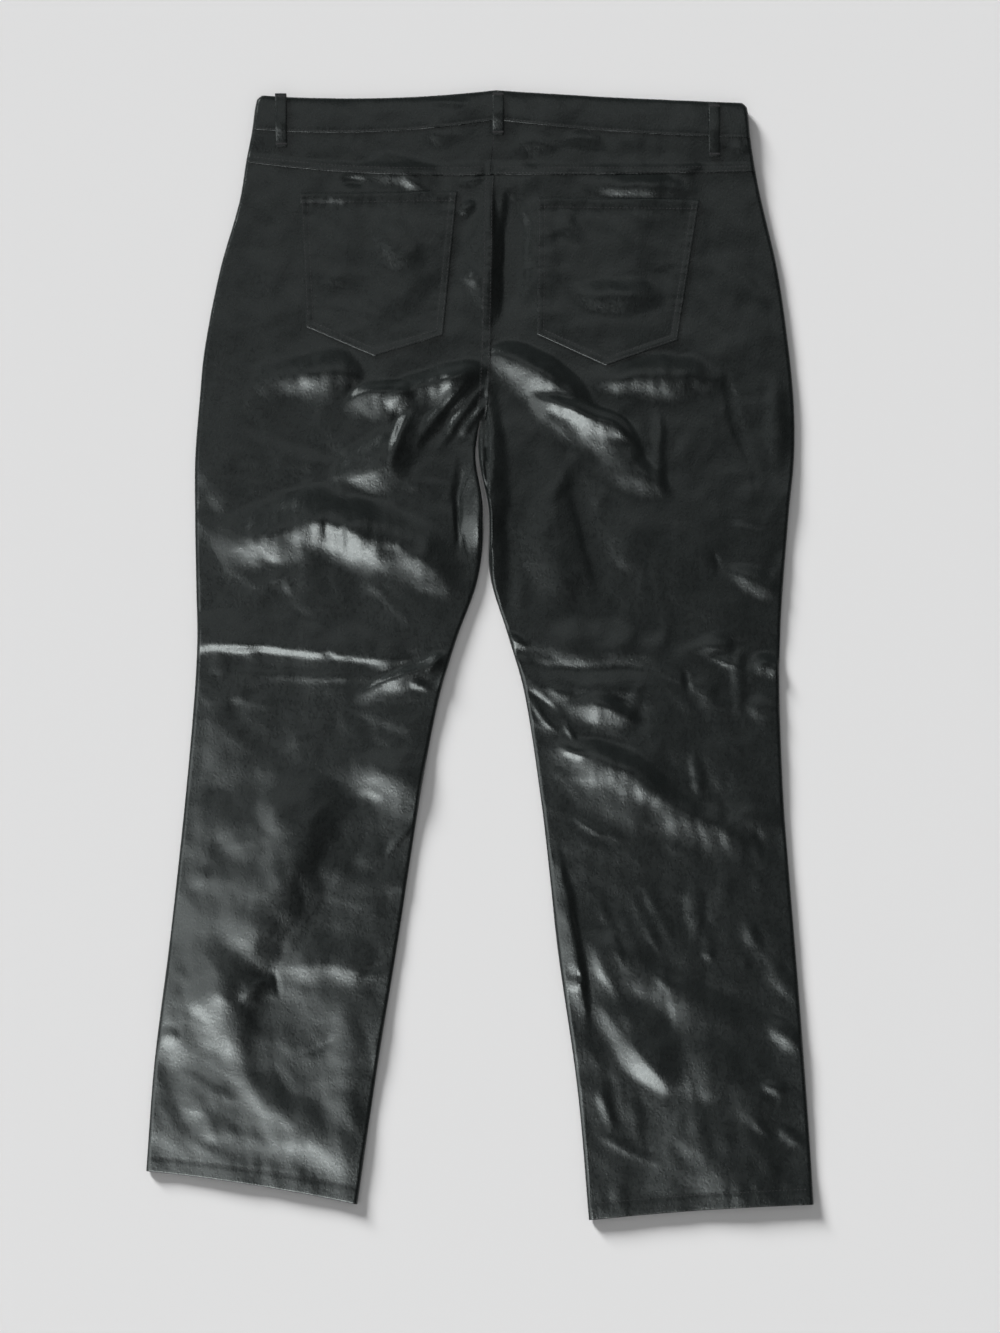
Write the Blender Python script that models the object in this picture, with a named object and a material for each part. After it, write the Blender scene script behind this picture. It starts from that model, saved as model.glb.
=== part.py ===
"""Leather trousers laid flat on their front, with one closed solid for each sewn piece.

All sizes are millimetres until they reach a mesh. u runs across from the centre back seam, plus towards the
wearer's right leg (+X), and v runs down from the top of the waistband at the centre back (-Y). Each half of
the trousers is a skin round rows: a row starts at the inner edge (the centre seams, then the inseam) and ends
at the outer edge (the side seam), and its station is the v of its inner end. The back lies on top, the front
lies flat on the floor at z = 0, and both roll round the outline of the garment.
"""
import math
from collections import namedtuple

import bmesh
import bpy

MM = 0.001

# Cloth and seams
LEATHER = 1.2             # wall of the legs, the yoke and the pockets
BAND = 2.4                # waistband, folded double
HEM_WALL = 1.8            # wall where the hem is turned up
HEM_DEPTH = 18.0
SEAM_GAP = 0.3
LEAST_LOFT = 4.6          # the back never lies lower than this on the front
FOLD_FADE = 0.4           # share of a straight fold's length over which each end fades out
FOLD_END_WIDTH = 0.45     # share of its width that a straight fold keeps at its ends
RIDGE_END_WIDTH = 0.5     # the same for a large fold
CURVE_STEPS = 6           # steps of a crest line between two places of its path

# Rolled edges at the outline
ROLL_WIDTH = 4.0          # how far in the roll reaches
ROLL_ARC = 5.4            # length of skin from the outline to the end of the roll
BACK_ROLL_STEPS = 3
FRONT_ROLL_STEPS = 2
WRAP_STEPS = 2            # steps across the strip of front that shows beside the inseam
BACK_STEPS = 14           # steps across the back between its two rolls
FRONT_STEPS = 2

# Middle of the whole garment, where the origin is
MIDDLE_U = -14.5
MIDDLE_V = 542.0

# A row for each section of a half. The inner and outer ends give the outline, bow is how far the row sags at
# its middle, loft is the height of the back's skin, lift the height of the front's skin, roll is 0 where the
# inner edge is a centre seam and 1 where it is the closed inseam, wrap is the width of front panel that shows
# beside the inseam, and steps is the number of mesh rows down to the next section.
Section = namedtuple("Section", "name inner_u inner_v outer_u outer_v bow loft lift roll wrap steps")

LEFT_SECTIONS = (
    Section("waist_top", 1, 0, -224, 5, 5, 8.8, 2.0, 0, 0, 1),
    Section("waist_corner", 0.8, 4, -228.6, 9.4, 5, 8.8, 2.0, 0, 0, 2),
    Section("waist_seam", 0, 29, -233, 38, 7, 8.8, 2.0, 0, 0, 3),
    Section("yoke_seam", -5, 81, -239, 69, 5, 7.6, 1.4, 0, 0, 2),
    Section("pocket_top", -6, 105, -245, 105, 2, 7.0, 0.8, 0, 0, 3),
    Section("seat", -7, 172, -264, 172, 0, 6.4, 0, 0, 0, 4),
    Section("low_seat", -9, 249, -279, 249, 0, 6.2, 0, 0, 0, 3),
    Section("seat_fold", -12, 301, -284, 301, 0, 6.2, 0, 0, 0, 4),
    Section("crotch", -18.6, 349, -288, 354, 0, 6.0, 0, 1, 0, 3),
    Section("upper_thigh", -10.5, 402, -288, 412, 0, 6.0, 0, 1, 26, 3),
    Section("thigh", -16, 467, -287, 474, 0, 5.8, 0, 1, 9, 4),
    Section("above_knee", -37, 527, -286, 527, 0, 5.8, 0, 1, 0, 5),
    Section("knee", -55, 589, -289, 585, 0, 5.8, 0, 1, 0, 5),
    Section("calf", -74, 692, -298, 685, 0, 5.6, 0, 1, 0, 6),
    Section("shin", -93, 815, -312, 813, 0, 5.6, 0, 1, 0, 7),
    Section("ankle", -114, 945, -327, 932, 0, 5.6, 0, 1, 0, 5),
    Section("hem", -132, 1069, -335, 1037, -3, 5.8, 0, 1, 0, 0),
)

RIGHT_SECTIONS = (
    Section("waist_top", 1, 0, 237, 12, 1, 8.8, 2.0, 0, 0, 1),
    Section("waist_corner", 0.8, 4, 241.6, 16.6, 1, 8.8, 2.0, 0, 0, 2),
    Section("waist_seam", 0, 29, 245, 46, 3, 8.8, 2.0, 0, 0, 3),
    Section("yoke_seam", -5, 81, 250, 78, 1, 7.6, 1.4, 0, 0, 2),
    Section("pocket_top", -6, 105, 255, 103, 1, 7.0, 0.8, 0, 0, 3),
    Section("seat", -7, 172, 271, 172, 0, 6.4, 0, 0, 0, 4),
    Section("low_seat", -9, 249, 282, 249, 0, 6.2, 0, 0, 0, 3),
    Section("seat_fold", -12, 301, 287, 304, 0, 6.2, 0, 0, 0, 4),
    Section("crotch", -16.4, 349, 287, 354, 0, 6.0, 0, 1, 0, 3),
    Section("upper_thigh", -7, 402, 282, 407, 0, 6.0, 0, 1, 6, 3),
    Section("thigh", -5, 465, 277, 469, 0, 5.8, 0, 1, 3, 4),
    Section("above_knee", 12, 522, 274, 517, 0, 5.8, 0, 1, 0, 5),
    Section("knee", 28, 578, 273, 575, 0, 5.8, 0, 1, 0, 5),
    Section("calf", 44, 681, 277, 681, 0, 5.6, 0, 1, 1, 3),
    Section("mid_calf", 52, 750, 282, 748, 0, 5.6, 0, 1, 8, 4),
    Section("shin", 60, 825, 288, 820, 0, 5.6, 0, 1, 17, 7),
    Section("ankle", 79, 959, 298, 949, 0, 5.6, 0, 1, 8, 5),
    Section("hem", 90, 1084, 306, 1069, -2, 5.8, 0, 1, 4, 0),
)

# A row for each straight fold of the back: a ridge (or a trough, with a minus height) along a line from its
# first end to its second, bowed sideways at its middle, and as wide on each side of its crest as above and
# below say. Below is the side towards the hem for a fold drawn from left to right, and the left side for one
# drawn down. The lower crest is, the sharper the ridge: 2 is round.
Fold = namedtuple("Fold", "name u1 v1 u2 v2 bow height above below crest")

FOLDS = (
    Fold("seat_valley", 15, 84, 4, 226, -3, -4.6, 26, 8, 1.5),
    Fold("right_of_valley", 46, 90, 38, 232, 0, 1.2, 24, 30, 2),
    Fold("seat_seam_ridge", -4, 86, -7, 238, 0, 3.4, 15, 30, 1.8),
    Fold("left_yoke_bulge", -142, 78, -44, 88, -5, 2.0, 18, 18, 1.5),
    Fold("right_yoke_bulge", 74, 88, 200, 95, -2, 2.6, 12, 18, 1.4),
    Fold("right_crotch_tail", 98, 336, 172, 392, -2, 4.2, 16, 30, 1.6),
    Fold("left_strip_ridge", -15, 324, -20, 456, -4, 5.6, 7, 20, 1.5),
    Fold("right_inner_ridge", -4, 252, 8, 530, 7, 4.8, 20, 5, 1.5),
    Fold("right_thigh_inner", 56, 350, 62, 520, 0, 1.8, 30, 36, 2),
    Fold("right_thigh_pleat", 130, 400, 132, 470, 0, 1.2, 26, 26, 2),
    Fold("right_thigh_wedge", 214, 454, 286, 486, 0, 2.4, 14, 18, 1.4),
    Fold("right_knee_top", 8, 527, 182, 535, 6, 2.4, 34, 22, 1.6),
    Fold("right_knee_fold", 22, 573, 170, 578, -3, 1.8, 24, 12, 1.6),
    Fold("right_knee_outer", 244, 546, 286, 557, 0, 3.2, 12, 16, 1.5),
    Fold("left_calf_outer", -306, 698, -240, 702, -2, 1.2, 30, 26, 2),
    Fold("left_calf_middle", -235, 694, -160, 692, -2, 1.6, 30, 28, 2),
    Fold("left_ankle_swell", -352, 878, -210, 868, -2, 4.4, 62, 84, 1.8),
    Fold("left_ankle_inner", -139, 873, -141, 1030, 0, 2.0, 24, 34, 2),
    Fold("right_shin_diagonal", 170, 936, 282, 984, 2, 0.5, 34, 26, 1.8),
    Fold("right_strip_ridge", 59, 716, 89, 912, 0, 3.6, 9, 24, 1.6),
    Fold("right_ankle_outer", 258, 888, 295, 923, 0, 1.8, 12, 14, 1.6),
    Fold("right_calf_outer", 218, 697, 283, 699, 0, 1.7, 18, 20, 2),
    Fold("right_hem_slope", 226, 860, 240, 1110, 0, 2.4, 60, 110, 2),
)

# The largest folds, along paths of their own: places on the crest, each with the height there
Ridge = namedtuple("Ridge", "name above below crest path")

RIDGES = (
    Ridge("left_seat_swag", 26, 34, 1.5,
          ((-234, 286, 0), (-206, 275, 2.2), (-178, 270, 3.8), (-150, 270, 5.2), (-128, 277, 0))),
    Ridge("left_seat_shell", 12, 36, 1.4,
          ((-146, 308, 0), (-130, 295, 3.6), (-110, 290, 5.2), (-92, 290, 4.4), (-78, 297, 0))),
    Ridge("left_seat_roll", 16, 34, 1.3,
          ((-104, 302, 0), (-84, 289, 5.0), (-58, 281, 7.6), (-34, 273, 7.6), (-6, 268, 0))),
    Ridge("left_thigh_dent", 34, 30, 1.4,
          ((-154, 388, 0), (-134, 371, 4.2), (-110, 360, 6.2), (-92, 340, 4.8), (-79, 314, 3.2),
           (-68, 290, 0))),
    Ridge("left_thigh_roll", 44, 44, 1.25,
          ((-268, 446, 0), (-240, 431, 4.4), (-200, 422, 7.6), (-160, 417, 9.4), (-122, 428, 8.2),
           (-88, 439, 5.8), (-60, 459, 3.8), (-38, 492, 0))),
    Ridge("right_crotch_roll", 20, 36, 1.4,
          ((-12, 256, 0), (8, 256, 5.0), (30, 262, 7.2), (52, 274, 7.2), (74, 290, 5.2), (96, 312, 0))),
    Ridge("right_crotch_fold", 12, 46, 1.25,
          ((34, 292, 0), (54, 299, 4.6), (78, 306, 7.2), (104, 316, 8.0), (124, 331, 5.4), (140, 354, 0))),
    Ridge("right_seat_roll", 28, 28, 1.4,
          ((92, 284, 0), (118, 278, 3.2), (152, 276, 5.6), (188, 278, 4.0), (222, 283, 0))),
    Ridge("left_knee_fold", 40, 9, 1.3,
          ((-320, 532, 0), (-280, 532, 2.3), (-200, 536, 2.6), (-146, 541, 2.2), (-104, 546, 1.1),
           (-66, 550, 0))),
    Ridge("left_knee_corner", 10, 20, 1.4,
          ((-136, 584, 0), (-112, 573, 3.0), (-86, 560, 4.8), (-62, 549, 3.6), (-44, 539, 0))),
    Ridge("right_knee_spot", 14, 30, 1.4,
          ((64, 590, 0), (84, 586, 3.0), (104, 588, 5.2), (124, 597, 3.0), (142, 608, 0))),
    Ridge("left_calf_lobe", 34, 46, 1.6,
          ((-140, 648, 0), (-114, 653, 2.2), (-92, 657, 3.2), (-74, 654, 2.4), (-52, 646, 0))),
    Ridge("left_shin_ridge", 50, 104, 1.7,
          ((-162, 660, 0), (-187, 710, 6.0), (-212, 760, 8.0), (-236, 808, 7.0), (-258, 852, 3.6),
           (-280, 892, 0))),
    Ridge("right_calf_diagonal", 26, 52, 1.4,
          ((56, 622, 0), (78, 634, 3.2), (102, 645, 6.0), (130, 660, 6.2), (160, 680, 4.6),
           (200, 700, 3.0), (250, 722, 0))),
    Ridge("left_shin_peak", 36, 24, 1.3,
          ((-214, 846, 0), (-192, 840, 1.8), (-165, 839, 2.6), (-135, 843, 1.9), (-108, 850, 0))),
    Ridge("left_ankle_ridge", 32, 32, 1.7,
          ((-252, 868, 0), (-245, 905, 1.6), (-236, 945, 1.8), (-214, 978, 2.0), (-182, 998, 2.6),
           (-150, 1020, 1.6), (-130, 1046, 0))),
    Ridge("right_shin_top", 28, 44, 1.7,
          ((76, 812, 0), (104, 826, 2.4), (132, 840, 2.4), (172, 864, 1.7), (240, 896, 1.0),
           (284, 912, 0))),
    Ridge("right_shin_crease", 44, 26, 1.5,
          ((90, 858, 0), (106, 882, 1.8), (124, 905, 2.8), (146, 929, 3.8), (158, 944, 2.4),
           (168, 962, 0))),
)

# Patch pockets: the top corners, the side corners where the point starts, and the point
Pocket = namedtuple("Pocket", "name inner_top outer_top outer_side point inner_side")
POCKETS = (
    Pocket("pocket_left", (-36, 97), (-187, 99), (-181, 227), (-116, 255), (-50, 235)),
    Pocket("pocket_right", (41, 103), (196, 105), (175, 240), (106, 264), (40, 234)),
)

# Belt loops: straps sewn down at both ends, from the top of the waistband to just below it
LOOP_WIDTH = 11.0
LOOP_WALL = 1.4
LOOP_RISE = 1.8           # slack in the middle of a loop
LOOP_CROWN = 0.3          # how much thicker a loop is along its middle
LOOP_STEPS = 6
Loop = namedtuple("Loop", "name u top_v bottom_v")
BACK_LOOPS = (
    Loop("belt_loop_back_left", -205, 4, 54.5),
    Loop("belt_loop_centre_back", 3, 2, 43),
    Loop("belt_loop_back_right", 210, 13, 64),
)
FRONT_LOOPS = (
    Loop("belt_loop_front_left", -118, 8, 52),
    Loop("belt_loop_front_right", 122, 8, 55),
)

# Fly: the closed zip lies inside the centre front, and the button is on the outside of the waistband
ZIP_TOP = 33.0
ZIP_BOTTOM = 176.0
ZIP_HALF = 13.0
ZIP_CHAIN_HALF = 2.5
ZIP_TAPE = 0.8
ZIP_CHAIN = 1.6
ZIP_STEP = 0.5            # width of the step from the tape up to the chain
BUTTON_RADIUS = 8.5
BUTTON_HEIGHT = 1.5
BUTTON_BEVEL = 0.4
BUTTON_U = -13.0
BUTTON_V = 18.0


def clear_scene():
    for item in list(bpy.data.objects):
        bpy.data.objects.remove(item, do_unlink=True)


def make_material(name, colour, roughness, metallic=0.0):
    material = bpy.data.materials.new(name)
    material.use_nodes = True
    shader = material.node_tree.nodes["Principled BSDF"]
    shader.inputs["Base Color"].default_value = (*colour, 1.0)
    shader.inputs["Roughness"].default_value = roughness
    shader.inputs["Metallic"].default_value = metallic
    return material


def smooth(x):
    x = min(1.0, max(0.0, x))
    return x * x * (3 - 2 * x)


def share_of_height(fold, aside, lens):
    """Share of a fold's height at a distance from its crest, where lens narrows the fold towards its ends."""
    if aside > 0:
        across = (aside / (fold.below * lens)) ** fold.crest
    else:
        across = (aside / (fold.above * lens)) ** 2
    return max(0.0, 1 - across) ** 2


def fold_height(fold, u, v):
    """Height of one straight fold at a place: rounded across, and fading out at its two ends."""
    run_u, run_v = fold.u2 - fold.u1, fold.v2 - fold.v1
    length = math.hypot(run_u, run_v)
    from_u, from_v = u - fold.u1, v - fold.v1
    along = (from_u * run_u + from_v * run_v) / length ** 2
    if not 0 < along < 1:
        return 0.0
    aside = (from_v * run_u - from_u * run_v) / length - fold.bow * 4 * along * (1 - along)
    fade = smooth(along / FOLD_FADE) * smooth((1 - along) / FOLD_FADE)
    return fold.height * fade * share_of_height(fold, aside, FOLD_END_WIDTH + (1 - FOLD_END_WIDTH) * fade)


def curve_through(path):
    """Points of a smooth curve through the places of a path, with the heights in between."""
    last = len(path) - 1
    slopes = []
    for i in range(last + 1):
        low, high = max(0, i - 1), min(last, i + 1)
        slopes.append([(path[high][k] - path[low][k]) / (high - low) for k in range(3)])
    points = []
    for i in range(last):
        for step in range(CURVE_STEPS):
            t = step / CURVE_STEPS
            points.append([path[i][k] * (1 + 2 * t) * (1 - t) ** 2 + path[i + 1][k] * t * t * (3 - 2 * t)
                           + slopes[i][k] * t * (1 - t) ** 2 - slopes[i + 1][k] * t * t * (1 - t)
                           for k in range(3)])
    return points + [list(path[last])]


def ridge_height(ridge, points, u, v):
    """Height of one large fold at a place, from the nearest point of its crest."""
    reach = max(ridge.above, ridge.below)
    if not (min(point[0] for point in points) - reach < u < max(point[0] for point in points) + reach
            and min(point[1] for point in points) - reach < v < max(point[1] for point in points) + reach):
        return 0.0
    nearest, aside, crest_height = math.inf, 0.0, 0.0
    for (u1, v1, height1), (u2, v2, height2) in zip(points[:-1], points[1:]):
        run_u, run_v = u2 - u1, v2 - v1
        share = ((u - u1) * run_u + (v - v1) * run_v) / (run_u * run_u + run_v * run_v)
        share = min(1.0, max(0.0, share))
        off_u, off_v = u - u1 - share * run_u, v - v1 - share * run_v
        distance = math.hypot(off_u, off_v)
        if distance < nearest:
            nearest = distance
            aside = math.copysign(distance, off_v * run_u - off_u * run_v)
            crest_height = max(0.0, height1 + (height2 - height1) * share)
    lens = RIDGE_END_WIDTH + (1 - RIDGE_END_WIDTH) * crest_height / max(point[2] for point in points)
    return crest_height * share_of_height(ridge, aside, lens)


CREST_LINES = [(ridge, curve_through(ridge.path)) for ridge in RIDGES]


def back_height(u, v, loft):
    """Height of the back's outer skin: its loft and the folds."""
    folds = sum(fold_height(fold, u, v) for fold in FOLDS)
    ridges = sum(ridge_height(ridge, points, u, v) for ridge, points in CREST_LINES)
    return max(LEAST_LOFT, loft + folds + ridges)


class Half:
    """One leg with its half of the seat."""

    def __init__(self, side, sections):
        self.side = side
        self.sections = sections
        self.stations = [section.inner_v for section in sections]
        self.known = {}

    def station(self, name):
        return next(section.inner_v for section in self.sections if section.name == name)

    def slope(self, column, i):
        """Slope of a column at section i, so that its curve runs smoothly through the table's rows."""
        low, high = max(0, i - 1), min(len(self.sections) - 1, i + 1)
        rise = self.sections[high][column] - self.sections[low][column]
        return rise / (self.stations[high] - self.stations[low])

    def section(self, station):
        """The section at any station, read from smooth curves through the table's columns."""
        if station in self.known:
            return self.known[station]
        i = sum(1 for known in self.stations[1:-1] if known <= station)
        step = self.stations[i + 1] - self.stations[i]
        t = (station - self.stations[i]) / step
        values = [f"at_{station:.1f}"]
        for column in range(1, len(Section._fields)):
            start, end = self.sections[i][column], self.sections[i + 1][column]
            values.append(start * (1 + 2 * t) * (1 - t) ** 2 + end * t * t * (3 - 2 * t)
                          + step * self.slope(column, i) * t * (1 - t) ** 2
                          - step * self.slope(column, i + 1) * t * t * (1 - t))
        found = Section(*values)
        roll = min(1.0, max(0.0, found.roll))
        wrap = max(0.0, found.wrap) if roll > 0.999 else 0.0
        found = found._replace(inner_u=found.inner_u + self.side * SEAM_GAP / 2, roll=roll, wrap=wrap,
                               lift=max(0.0, found.lift))
        self.known[station] = found
        return found

    def width(self, station):
        section = self.section(station)
        return math.hypot(section.outer_u - section.inner_u, section.outer_v - section.inner_v)

    def skin(self, station, edge, arc):
        """Point and normal of the outer skin, arc round from the outline: plus on the back, minus below."""
        section = self.section(station)
        run_u, run_v = section.outer_u - section.inner_u, section.outer_v - section.inner_v
        width = math.hypot(run_u, run_v)
        roll = section.roll if edge == "inner" else 1.0
        first_angle = (1 - roll) * math.pi / 2
        if abs(arc) < ROLL_ARC * roll:
            angle = first_angle + (math.pi / 2 - first_angle) * abs(arc) / (ROLL_ARC * roll)
            inset = ROLL_WIDTH * (math.cos(first_angle) - math.cos(angle))
        else:
            angle = math.pi / 2
            inset = ROLL_WIDTH * math.cos(first_angle) + abs(arc) - ROLL_ARC * roll
        across = inset / width if edge == "inner" else 1 - inset / width
        u = section.inner_u + run_u * across
        v = section.inner_v + run_v * across + section.bow * 4 * across * (1 - across)
        outward = (-1 if edge == "inner" else 1) * math.cos(angle) / ROLL_WIDTH / width
        middle = (section.loft + section.lift) / 2
        if arc < 0:
            depth = middle - section.lift
            z = middle - depth * math.sin(angle)
            normal = (run_u * outward, run_v * outward, -math.sin(angle) / depth)
        else:
            top = back_height(u, v, section.loft)
            slope_u = back_height(u + 0.5, v, section.loft) - back_height(u - 0.5, v, section.loft)
            slope_v = back_height(u, v + 0.5, section.loft) - back_height(u, v - 0.5, section.loft)
            z = middle + (top - middle) * math.sin(angle)
            lean = math.sin(angle) / (top - middle)
            normal = (run_u * outward - slope_u * lean, run_v * outward - slope_v * lean, lean)
        size = math.sqrt(sum(part * part for part in normal))
        return (u, v, z), tuple(part / size for part in normal)

    def find(self, u, v):
        """The section of the row that passes through a place."""
        station = v
        for _ in range(8):
            section = self.section(station)
            across = (u - section.inner_u) / (section.outer_u - section.inner_u)
            row_v = (section.inner_v + (section.outer_v - section.inner_v) * across
                     + section.bow * 4 * across * (1 - across))
            station = min(self.stations[-1], max(0.0, station + v - row_v))
        return self.section(station)

    def rows(self, first, last):
        """Stations of the mesh rows from one section to another, half a seam gap short at both ends."""
        stations = []
        for i, section in enumerate(self.sections[:-1]):
            if self.station(first) <= section.inner_v < self.station(last):
                step = (self.stations[i + 1] - section.inner_v) / section.steps
                stations += [section.inner_v + step * k for k in range(section.steps)]
        stations[0] += SEAM_GAP / 2
        return stations + [self.station(last) - SEAM_GAP / 2]


LEFT = Half(-1, LEFT_SECTIONS)
RIGHT = Half(1, RIGHT_SECTIONS)


def between(start, end, steps):
    return [start + (end - start) * k / steps for k in range(steps + 1)]


def snapped(values, limit, pick):
    """Places held on one side of a seam, with those that come too near it moved onto it."""
    held = [pick(value, limit) for value in values]
    return [limit if abs(value - limit) < SEAM_GAP else value for value in held]


def back_places(half, station):
    """Places of the back's columns across a row, from the inseam or centre back to the side seam."""
    section = half.section(station)
    seam = section.wrap + SEAM_GAP / 2
    roll = ROLL_ARC * section.roll
    inner = snapped(between(0, roll, BACK_ROLL_STEPS), seam, max)
    outer = snapped(between(ROLL_ARC, 0, BACK_ROLL_STEPS), SEAM_GAP / 2, max)
    roll_inset = ROLL_WIDTH * math.sin(section.roll * math.pi / 2)
    last = roll + half.width(station) - ROLL_WIDTH - roll_inset
    middle = between(inner[-1], last, BACK_STEPS)[1:-1]
    return [("inner", arc) for arc in inner + middle] + [("outer", arc) for arc in outer]


def front_places(half, station):
    """Places of the front's columns across a row, from the side seam round to the inseam or centre front."""
    section = half.section(station)
    seam = section.wrap - SEAM_GAP / 2
    roll = ROLL_ARC * section.roll
    outer = between(-SEAM_GAP / 2, -ROLL_ARC, FRONT_ROLL_STEPS)
    roll_inset = ROLL_WIDTH * math.sin(section.roll * math.pi / 2)
    last = roll + half.width(station) - ROLL_WIDTH - roll_inset
    middle = between(-last, -roll, FRONT_STEPS)[1:-1]
    inner = snapped(between(-roll, 0, FRONT_ROLL_STEPS), seam, min)
    wrap = snapped(between(0, max(seam, 0), WRAP_STEPS)[1:], seam, min)
    return [("outer", arc) for arc in outer] + [("inner", arc) for arc in middle + inner + wrap]


def leg_wall(half, station):
    """Thickness of a leg panel, double where the hem is turned up."""
    up = half.stations[-1] - station
    return HEM_WALL if up < HEM_DEPTH else LEATHER


def leg_rows(half, first):
    """Rows of a leg panel, with the hem's fold line as a row of its own."""
    stations = half.rows(first, "hem")
    fold_line = half.stations[-1] - HEM_DEPTH
    kept = [station for station in stations if abs(station - fold_line) > 5]
    return sorted(kept + [fold_line - 0.5, fold_line + 0.5])


def to_world(u, v, z):
    return ((u - MIDDLE_U) * MM, (MIDDLE_V - v) * MM, z * MM)


def pair(skin, thickness, out=0.0):
    """World points of both sides of a wall, from a point and its normal, moved out from the skin."""
    point, normal = skin
    outer = [point[i] + normal[i] * out for i in range(3)]
    inner = [point[i] + normal[i] * (out - thickness) for i in range(3)]
    return to_world(*outer), to_world(*inner)


def add_object(name, bm, material):
    bmesh.ops.recalc_face_normals(bm, faces=bm.faces)
    mesh = bpy.data.meshes.new(name)
    bm.to_mesh(mesh)
    bm.free()
    mesh.materials.append(material)
    mesh.shade_smooth()
    mesh.set_sharp_from_angle(angle=math.radians(50))
    item = bpy.data.objects.new(name, mesh)
    bpy.context.collection.objects.link(item)
    return item


def add_wall(name, grid, material):
    """A closed solid from rows of pairs of points, one pair for the two sides of the wall."""
    bm = bmesh.new()
    outer = [[bm.verts.new(one) for one, other in row] for row in grid]
    inner = [[bm.verts.new(other) for one, other in row] for row in grid]
    last_row, last_column = len(grid) - 1, len(grid[0]) - 1
    for i in range(last_row):
        for j in range(last_column):
            for side in (outer, inner):
                a, b, c, d = side[i][j], side[i + 1][j], side[i + 1][j + 1], side[i][j + 1]
                bm.faces.new((a, b, c))
                bm.faces.new((a, c, d))
    rim = ([(i, 0) for i in range(last_row)] + [(last_row, j) for j in range(last_column)]
           + [(i, last_column) for i in range(last_row, 0, -1)] + [(0, j) for j in range(last_column, 0, -1)])
    for (i, j), (k, m) in zip(rim, rim[1:] + rim[:1]):
        if (i, j) < (k, m):
            bm.faces.new((outer[i][j], outer[k][m], inner[k][m]))
            bm.faces.new((outer[i][j], inner[k][m], inner[i][j]))
        else:
            bm.faces.new((outer[i][j], outer[k][m], inner[i][j]))
            bm.faces.new((outer[k][m], inner[k][m], inner[i][j]))
    bmesh.ops.remove_doubles(bm, verts=bm.verts, dist=0.002 * MM)
    bmesh.ops.dissolve_degenerate(bm, edges=bm.edges, dist=0.001 * MM)
    bmesh.ops.triangulate(bm, faces=bm.faces)
    return add_object(name, bm, material)


def back_grid(half, stations, thickness):
    return [[pair(half.skin(station, *place), thickness(half, station))
             for place in back_places(half, station)] for station in stations]


def front_grid(half, stations, thickness):
    return [[pair(half.skin(station, *place), thickness(half, station))
             for place in front_places(half, station)] for station in stations]


def leather(half, station):
    return LEATHER


def band(half, station):
    return BAND


def add_legs(material):
    """Both leg panels of each half, and the yoke between the back panel and the waistband."""
    backs = {}
    for half, word in ((LEFT, "left"), (RIGHT, "right")):
        backs[word] = back_grid(half, leg_rows(half, "yoke_seam"), leg_wall)
        add_wall(f"back_{word}", backs[word], material)
        add_wall(f"front_{word}", front_grid(half, leg_rows(half, "waist_seam"), leg_wall), material)
        add_wall(f"yoke_{word}", back_grid(half, half.rows("waist_seam", "yoke_seam"), leather), material)
    return backs


def add_waistband(material):
    """One piece across the back and one for each half of the front."""
    left = back_grid(LEFT, LEFT.rows("waist_top", "waist_seam"), band)
    right = back_grid(RIGHT, RIGHT.rows("waist_top", "waist_seam"), band)
    whole = [left_row[:0:-1] + right_row[BACK_ROLL_STEPS:] for left_row, right_row in zip(left, right)]
    add_wall("waistband_back", whole, material)
    for half, word in ((LEFT, "left"), (RIGHT, "right")):
        stations = half.rows("waist_top", "waist_seam")
        add_wall(f"waistband_front_{word}", front_grid(half, stations, band), material)


def add_pocket(pocket, grid, material):
    """A patch with the back panel's own facets, cut to the pocket's outline and moved out from it."""
    bm = bmesh.new()
    skin = [[bm.verts.new(one) for one, other in row] for row in grid]
    for i in range(len(grid) - 1):
        for j in range(BACK_ROLL_STEPS + 1, len(grid[0]) - BACK_ROLL_STEPS - 2):
            a, b, c, d = skin[i][j], skin[i + 1][j], skin[i + 1][j + 1], skin[i][j + 1]
            bm.faces.new((a, b, c))
            bm.faces.new((a, c, d))
    corners = [to_world(*corner, 0) for corner in pocket[1:]]
    middle = [sum(corner[i] for corner in corners) / len(corners) for i in range(2)]
    for start, end in zip(corners, corners[1:] + corners[:1]):
        outward = [end[1] - start[1], start[0] - end[0], 0]
        if (middle[0] - start[0]) * outward[0] + (middle[1] - start[1]) * outward[1] > 0:
            outward = [-part for part in outward]
        whole = bm.verts[:] + bm.edges[:] + bm.faces[:]
        bmesh.ops.bisect_plane(bm, geom=whole, plane_co=start, plane_no=outward, dist=0.01 * MM,
                               clear_outer=True)
    loose = [vert for vert in bm.verts if not vert.link_faces]
    bmesh.ops.delete(bm, geom=loose, context="VERTS")
    bmesh.ops.triangulate(bm, faces=bm.faces)

    faces = [list(face.verts) for face in bm.faces]
    rim = [(edge.verts[0], edge.verts[1]) for edge in bm.edges if len(edge.link_faces) == 1]
    top = {}
    for vert in bm.verts[:]:
        vert.co.z += SEAM_GAP * MM
        top[vert] = bm.verts.new((vert.co.x, vert.co.y, vert.co.z + LEATHER * MM))
    for face in faces:
        bm.faces.new([top[vert] for vert in reversed(face)])
    for start, end in rim:
        bm.faces.new((start, end, top[end]))
        bm.faces.new((start, top[end], top[start]))
    return add_object(pocket.name, bm, material)


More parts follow.
